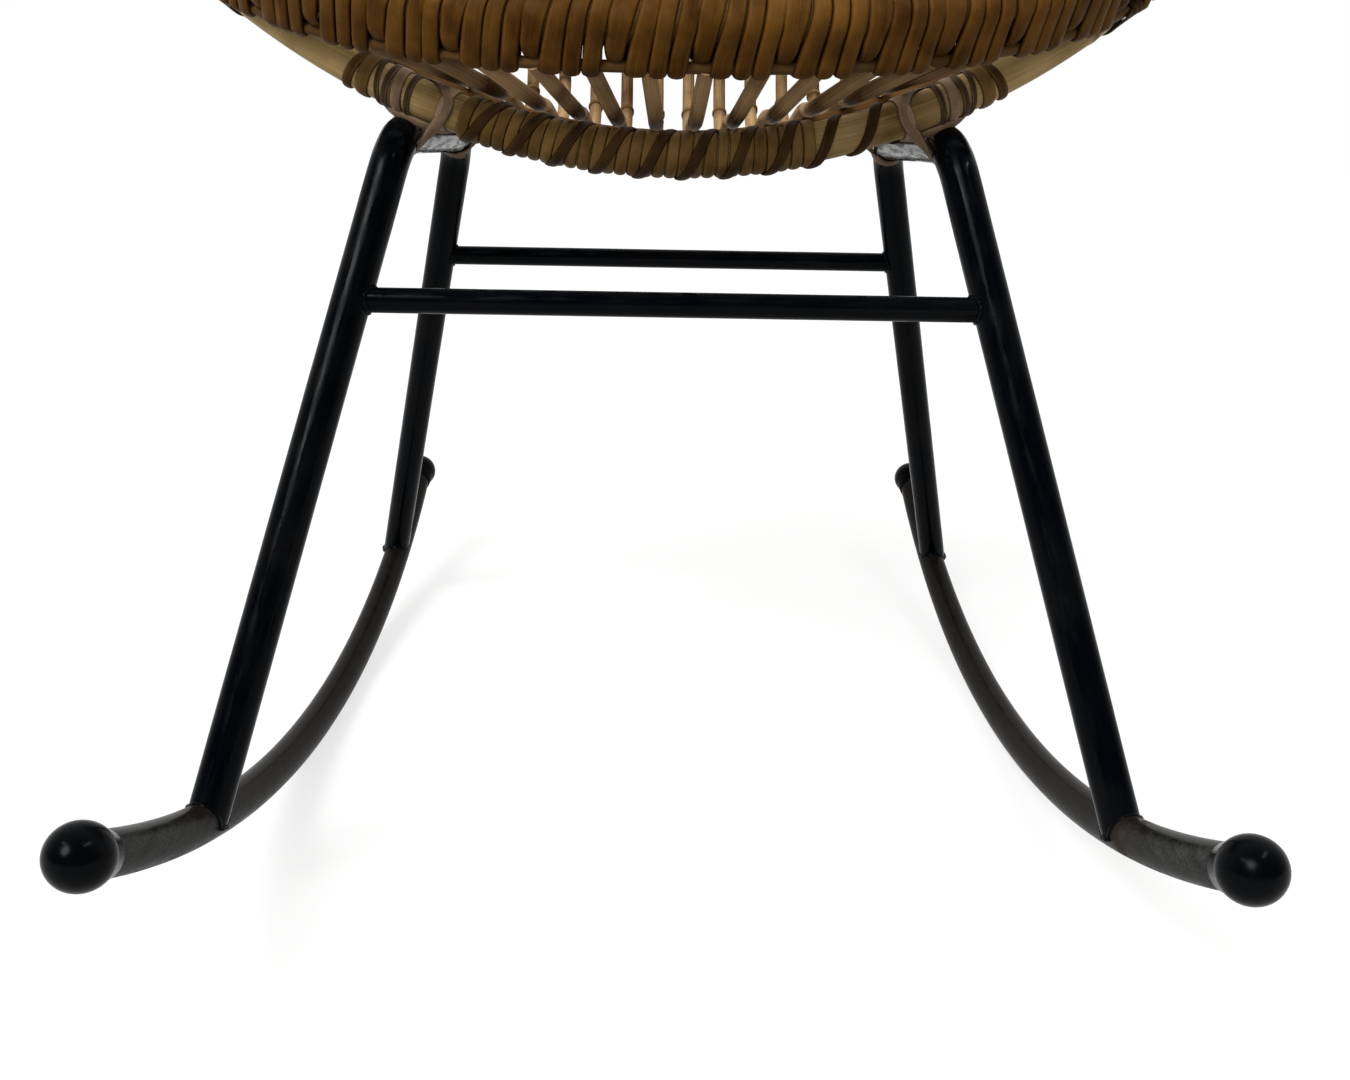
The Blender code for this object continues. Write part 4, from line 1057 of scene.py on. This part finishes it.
def hoop_strip(x, angle, radius, width, thickness, tone, rear=False):
    """A strip wound on the hoop: at each x it lies a radius from the hoop's centreline, on the side that an
    angle from outward towards the top gives."""
    centre, outward, upward = hoop_axes(x, rear)
    facing = around(angle, outward, upward)
    return strip(centre + np.broadcast_to(radius, len(x))[:, None] * facing, facing, width, thickness, tone)


def spiral(first_top, turns, pitch, rise):
    """Places along and angles of an open spiral: it climbs the front as it runs by the rise, and goes down
    behind over what is left of the pitch."""
    count = np.linspace(0, turns, turns * SPIRAL_RINGS + 1)
    whole, part = np.divmod(count, 1)
    behind = rise + (2 * part - 1) * (pitch - rise)
    x = first_top - rise + pitch * whole + np.where(part < 0.5, 2 * part * rise, behind)
    return x, (2 * count - 0.5) * math.pi


def hoop_ring(side, place, slant, width, tone, rear=False):
    """One turn of strip round the bare hoop at a distance from the middle, which runs outward by the slant as
    it goes down the front, as (grid, tone, edge)."""
    x, angle = spiral(place - slant / 2, 1, RING_ADVANCE, -slant)
    return hoop_strip(side * x, angle, HOOP_STRIP_RADIUS, width, SPIRAL_THICKNESS, tone, rear)


wrap_cane = cane("wrap_cane", WRAP_DARK, WRAP_LIGHT, WRAP_EDGE)
spiral_cane = cane("spiral_cane", SPIRAL_DARK, SPIRAL_LIGHT, SPIRAL_EDGE)
chance = np.random.default_rng(HOOP_WRAP_SEED)
for name, rear, reach in HOOP_WRAPS:
    ends = np.arcsin(np.array(reach) / HOOP_HALF_WIDTH)
    turns = int(run_along(hoop_point(np.linspace(*ends, HOOP_WRAP_FINE_STEPS)))[-1] / HOOP_WRAP_PITCH)
    count = np.linspace(0, turns, turns * HOOP_WRAP_RINGS + 1)
    whole = count.astype(int)
    tones = np.clip(chance.normal(*HOOP_WRAP_TONES, turns + 1), 0, 1)[whole]
    widths = (HOOP_WRAP_WIDTH * (1 + chance.normal(0, HOOP_WRAP_UNEVEN, turns + 1)))[whole]
    x = HOOP_HALF_WIDTH * np.sin(even_turns(hoop_point, *ends, len(count)))
    angle = (2 * count + 1) * math.pi
    wound = hoop_strip(x, angle, HOOP_STRIP_RADIUS, widths, HOOP_WRAP_THICKNESS, tones, rear)
    fit(bind(name, [wound], wrap_cane), None if rear else "hoop_front_binding")
for name, (_, rear, reach) in zip(("hoop_front_spiral", "hoop_rear_spiral"), HOOP_WRAPS):
    x, angle = spiral(SPIRAL_FIRST_TOP, SPIRAL_TURNS, ROD_SEAT_PITCH, SPIRAL_RISE)
    over_wraps = HOOP_STRIP_RADIUS + SPIRAL_SINK * HOOP_WRAP_THICKNESS
    radius = np.interp(x, [reach[1], reach[1] + SPIRAL_STEP_DOWN], [over_wraps, HOOP_STRIP_RADIUS])
    middle, swing, pace = SPIRAL_TONES
    tone = middle + swing * np.sin(angle * pace)
    wound = hoop_strip(x, angle, radius, SPIRAL_WIDTH, SPIRAL_THICKNESS, tone, rear)
    fit(bind(name, [wound], spiral_cane))
for side, hand in HANDS:
    wound = [hoop_ring(side, *turn) for turn in TIE_TURNS]
    fit(bind(f"hoop_{hand}_tie", wound, wrap_cane))

# Rail lashings: split cane ties the hoop to each rail where they cross. Some turns go round the hoop alone,
# one goes on under the rail, a band closes the joint in front, and at the rear a loop grips the tube below.
LASHING_WIDTH = 0.0058
LASHING_THICKNESS = 0.0013
LASHING_INWARD = -0.0090
LASHING_OUTSET = 0.0015
LASHING_SEAT = 0.0004
LASHING_REACH = 0.05
LASHING_STEP = 0.0011
LASHING_POINTS = 250
LASHING_TONE = 0.5
# Each turn: distance from the middle, slant, width and tone. The second, third and last are dark strips laid
# where shade falls beside the pale turns at the joint: painted shade.
LASHING_TURNS = (
    (0.1397, -0.0030, 0.0060, 1.3),
    (0.1452, 0.0000, 0.0040, -0.6),
    (0.1339, -0.0010, 0.0034, -0.7),
    (0.1165, 0.0020, 0.0064, 1.3),
    (0.1497, -0.0050, 0.0030, -0.8),
)
BAND_REACH = (-0.0280, 0.0070)
BAND_RADIUS = 0.0117
BAND_PULL = 0.12
BAND_LEAN = (math.radians(-74), math.radians(-36))
BAND_TUCK = math.radians(-38)
BAND_POINTS = 40
BAND_TONE = 0.75
LOOP_PITCH = 0.0064
LOOP_START = math.radians(-140)
LOOP_END = math.radians(305)
LOOP_POINTS = 110
LOOP_CLEAR = 0.0140
LOOP_TONE = 0.6
HOOP_FINE_STEPS = 6000
LEG_FINE_STEPS = 20
LASHING_DARK = (0.060, 0.034, 0.016, 1.0)
LASHING_LIGHT = (0.300, 0.200, 0.125, 1.0)
LASHING_EDGE = (0.016, 0.009, 0.005, 1.0)


def pass_through(curve, origin, along, places):
    """Where a curve near a place passes through planes square to an axis, and its direction there."""
    near = curve[np.linalg.norm(curve - origin, axis=1) < LASHING_REACH]
    depth = (near - origin) @ along
    order = np.argsort(depth)
    ends = [at(places + step, depth[order], near[order]) for step in (LASHING_WIDTH / 2, -LASHING_WIDTH / 2)]
    return (ends[0] + ends[1]) / 2, unit(ends[0] - ends[1])


def taut(poles, origin, along, across, angle, place):
    """A strip's line pulled tight round two poles, and the outward vectors along it.

    For each angle it takes the plane square to the axis at that place, where each pole's section is an
    ellipse, and the ellipse's point that lies furthest in the angle's direction. The further of the two
    poles' points counts. The line is then parted into even steps.
    """
    across = unit(across - (across @ along) * along)
    plane = np.stack([across, np.cross(along, across)])
    facing = around(angle, *np.eye(2))
    reaches, touches, outwards = [], [], []
    for curve, radius in poles:
        radius = radius + LASHING_SEAT
        spot, direction = pass_through(curve, origin, along, place)
        slant = direction @ plane.T / (direction @ along)[:, None]
        shear = (slant * facing).sum(axis=1, keepdims=True)
        reach = radius * np.sqrt(1 + shear**2)
        centre = (spot - origin) @ plane.T
        touch = centre + radius**2 * (facing + slant * shear) / reach
        touch = origin + place[:, None] * along + touch @ plane
        outward = touch - spot
        reaches.append((centre * facing).sum(axis=1) + reach[:, 0])
        touches.append(touch)
        outwards.append(unit(outward - (outward * direction).sum(axis=1, keepdims=True) * direction))
    further = (reaches[1] > reaches[0])[:, None]
    line, outward = (np.where(further, second, first) for first, second in (touches, outwards))
    run = run_along(line)
    even = np.linspace(0, run[-1], int(run[-1] / LASHING_STEP))
    return at(even, run, line), unit(at(even, run, outward))


def grip(leg, hoop_path, hoop_along, end):
    """A loop of cane round a leg tube just under the hoop, as its line and outward vectors.

    It goes round the tube's centreline at the tube's radius, and leans along the tube so that its outer side
    runs level with the hoop.
    """
    run, along = run_along(leg), unit(np.gradient(leg, axis=0))
    outer = np.array([0.0, end, 1.0])
    outer = unit(outer - (along @ outer)[:, None] * along)
    front = leg + LEG_RADIUS * outer
    apart = np.linalg.norm(front[:, None] - hoop_path[None], axis=2).min(axis=1)
    below = np.flatnonzero((apart < LOOP_CLEAR) & (leg[:, 1] * end > 0))
    start = below[0] if end < 0 else below[-1]
    side = np.cross(along[start], outer[start])
    lean = LEG_RADIUS * (hoop_along @ along[start]) / (hoop_along @ side)
    angle = np.linspace(LOOP_START, LOOP_END, LOOP_POINTS)
    place = run[start] + lean * np.cos(angle) + LOOP_PITCH * (angle / math.pi - 0.5) / 2
    facing = around(angle, side, at(place, run, outer))
    return at(place, run, leg) + (LEG_RADIUS + LASHING_SEAT) * facing, facing


def band(side, rear):
    """A band along the hoop's lower front, whose ends tuck in under the hoop, as (grid, tone, edge)."""
    share = np.linspace(-1, 1, BAND_POINTS)
    tuck = np.abs(share) ** 3
    centre, outward, upward = hoop_axes(side * (RAIL_SPAN + np.interp(share, [-1, 1], BAND_REACH)), rear)
    lines = [around(lean + BAND_TUCK * tuck, outward, upward) for lean in BAND_LEAN]
    line = centre + BAND_RADIUS * (1 - BAND_PULL * tuck)[:, None] * lines[0]
    return strip(line, lines[1], LASHING_WIDTH, LASHING_THICKNESS, BAND_TONE)


lashing_cane = cane("lashing_cane", LASHING_DARK, LASHING_LIGHT, LASHING_EDGE)
rail_turn = math.asin(RAIL_SPAN / HOOP_HALF_WIDTH)
hoop_path = hoop_point(np.linspace(-math.pi, 3 * math.pi, HOOP_FINE_STEPS))
angle = np.linspace(0, math.tau, LASHING_POINTS)
place = np.full_like(angle, LASHING_INWARD)
for side, hand in HANDS:
    leg = leg_line(side)
    leg = at(np.linspace(0, len(leg) - 1, LEG_FINE_STEPS * len(leg)), np.arange(len(leg)), leg)
    for end, direction, turn in (("front", -1, rail_turn), ("rear", 1, math.pi - rail_turn)):
        over = hoop_point(side * turn)
        under = np.array([side * RAIL_SPAN, over[1], RAIL_HEIGHT])
        tangent = turned_axes(hoop_point, side * turn)[0]
        tangent = tangent * np.sign(tangent[0]) * side
        rail = direction * LENGTHWISE
        middle = (over + under) / 2 + LASHING_OUTSET * tangent
        poles = ((hoop_path, HOOP_RADIUS), (leg, LEG_RADIUS))
        along = unit(np.cross(np.cross(tangent, rail), tangent - rail))
        lines = [(*taut(poles, middle, along, -UP, angle, place), LASHING_TONE)]
        if end == "rear":
            lines.append((*grip(leg, hoop_path, tangent, direction), LOOP_TONE))
        made = [strip(line, outward, LASHING_WIDTH, LASHING_THICKNESS, tone) for line, outward, tone in lines]
        made += [hoop_ring(side, *turn, end == "rear") for turn in LASHING_TURNS]
        made.append(band(side, end == "rear"))
        name = f"{end}_{hand}_rail"
        fit(bind(f"{name}_tie", made, lashing_cane), f"{name}_lashing")

# Rim lashings: three turns of dark cane tie the lower rim pole to the hoop where they touch, on each side.
# The turns lie close together and are pulled tight round both poles.
RIM_TIE_HOOP = (0.23125, -0.05227, 0.44081)
RIM_TIE_RIM = (0.24084, -0.06191, 0.44051)
RIM_TIE_ALONG = (0.63461, 0.63760, 0.43673)
RIM_TIE_TURNS = 3
RIM_TIE_PITCH = 0.0063
RIM_TIE_TONE = 0.3
rim_path = rim_lower_point(np.linspace(-math.pi, 3 * math.pi, RIM_FINE_STEPS))
poles = ((hoop_path, HOOP_RADIUS), (rim_path, RIM_LOWER_RADIUS))
angle = np.linspace(0, math.tau * RIM_TIE_TURNS, LASHING_POINTS * RIM_TIE_TURNS)
place = RIM_TIE_PITCH * (angle / math.tau - RIM_TIE_TURNS / 2)
for side, hand in HANDS:
    on_hoop, on_rim, along = np.array([RIM_TIE_HOOP, RIM_TIE_RIM, RIM_TIE_ALONG]) * (side, 1, 1)
    middle = (on_hoop + on_rim) / 2 + SHIFT
    line, outward = taut(poles, middle, unit(along), on_rim - on_hoop, angle, place)
    wound = strip(line, outward, LASHING_WIDTH, LASHING_THICKNESS, RIM_TIE_TONE)
    fit(bind(f"{hand}_rim_tie", [wound], spiral_cane), f"{hand}_rim_lashing")

# Rod ties: a narrow ring of cane grips each rod just above the back of the hoop.
# Each ring is one overlapping turn of thin strip.
ROD_TIE_WIDTH = 0.0034
ROD_TIE_THICKNESS = 0.0009
ROD_TIE_POINTS = 30
ROD_TIE_TURNS = 1.15
ROD_TIE_PITCH = 0.0014
ROD_TIE_UP = 0.012
ROD_TIE_TONE = 0.6
angle = np.linspace(0, math.tau * ROD_TIE_TURNS, ROD_TIE_POINTS)
ties = []
for name, _, _ in rods:
    line = rod_lines[name]
    run = run_along(line)
    crossing = run[-1 - 2 * BACK_SPAN_STEPS] + ROD_TIE_UP
    spot = at(crossing + ROD_TIE_PITCH * angle / math.tau, run, line)
    facing = around(angle, *axes(spot, ACROSS))
    ties.append(strip(spot + ROD_RADIUS * facing, facing, ROD_TIE_WIDTH, ROD_TIE_THICKNESS, ROD_TIE_TONE))
fit(bind("rod_ties", ties, wrap_cane))
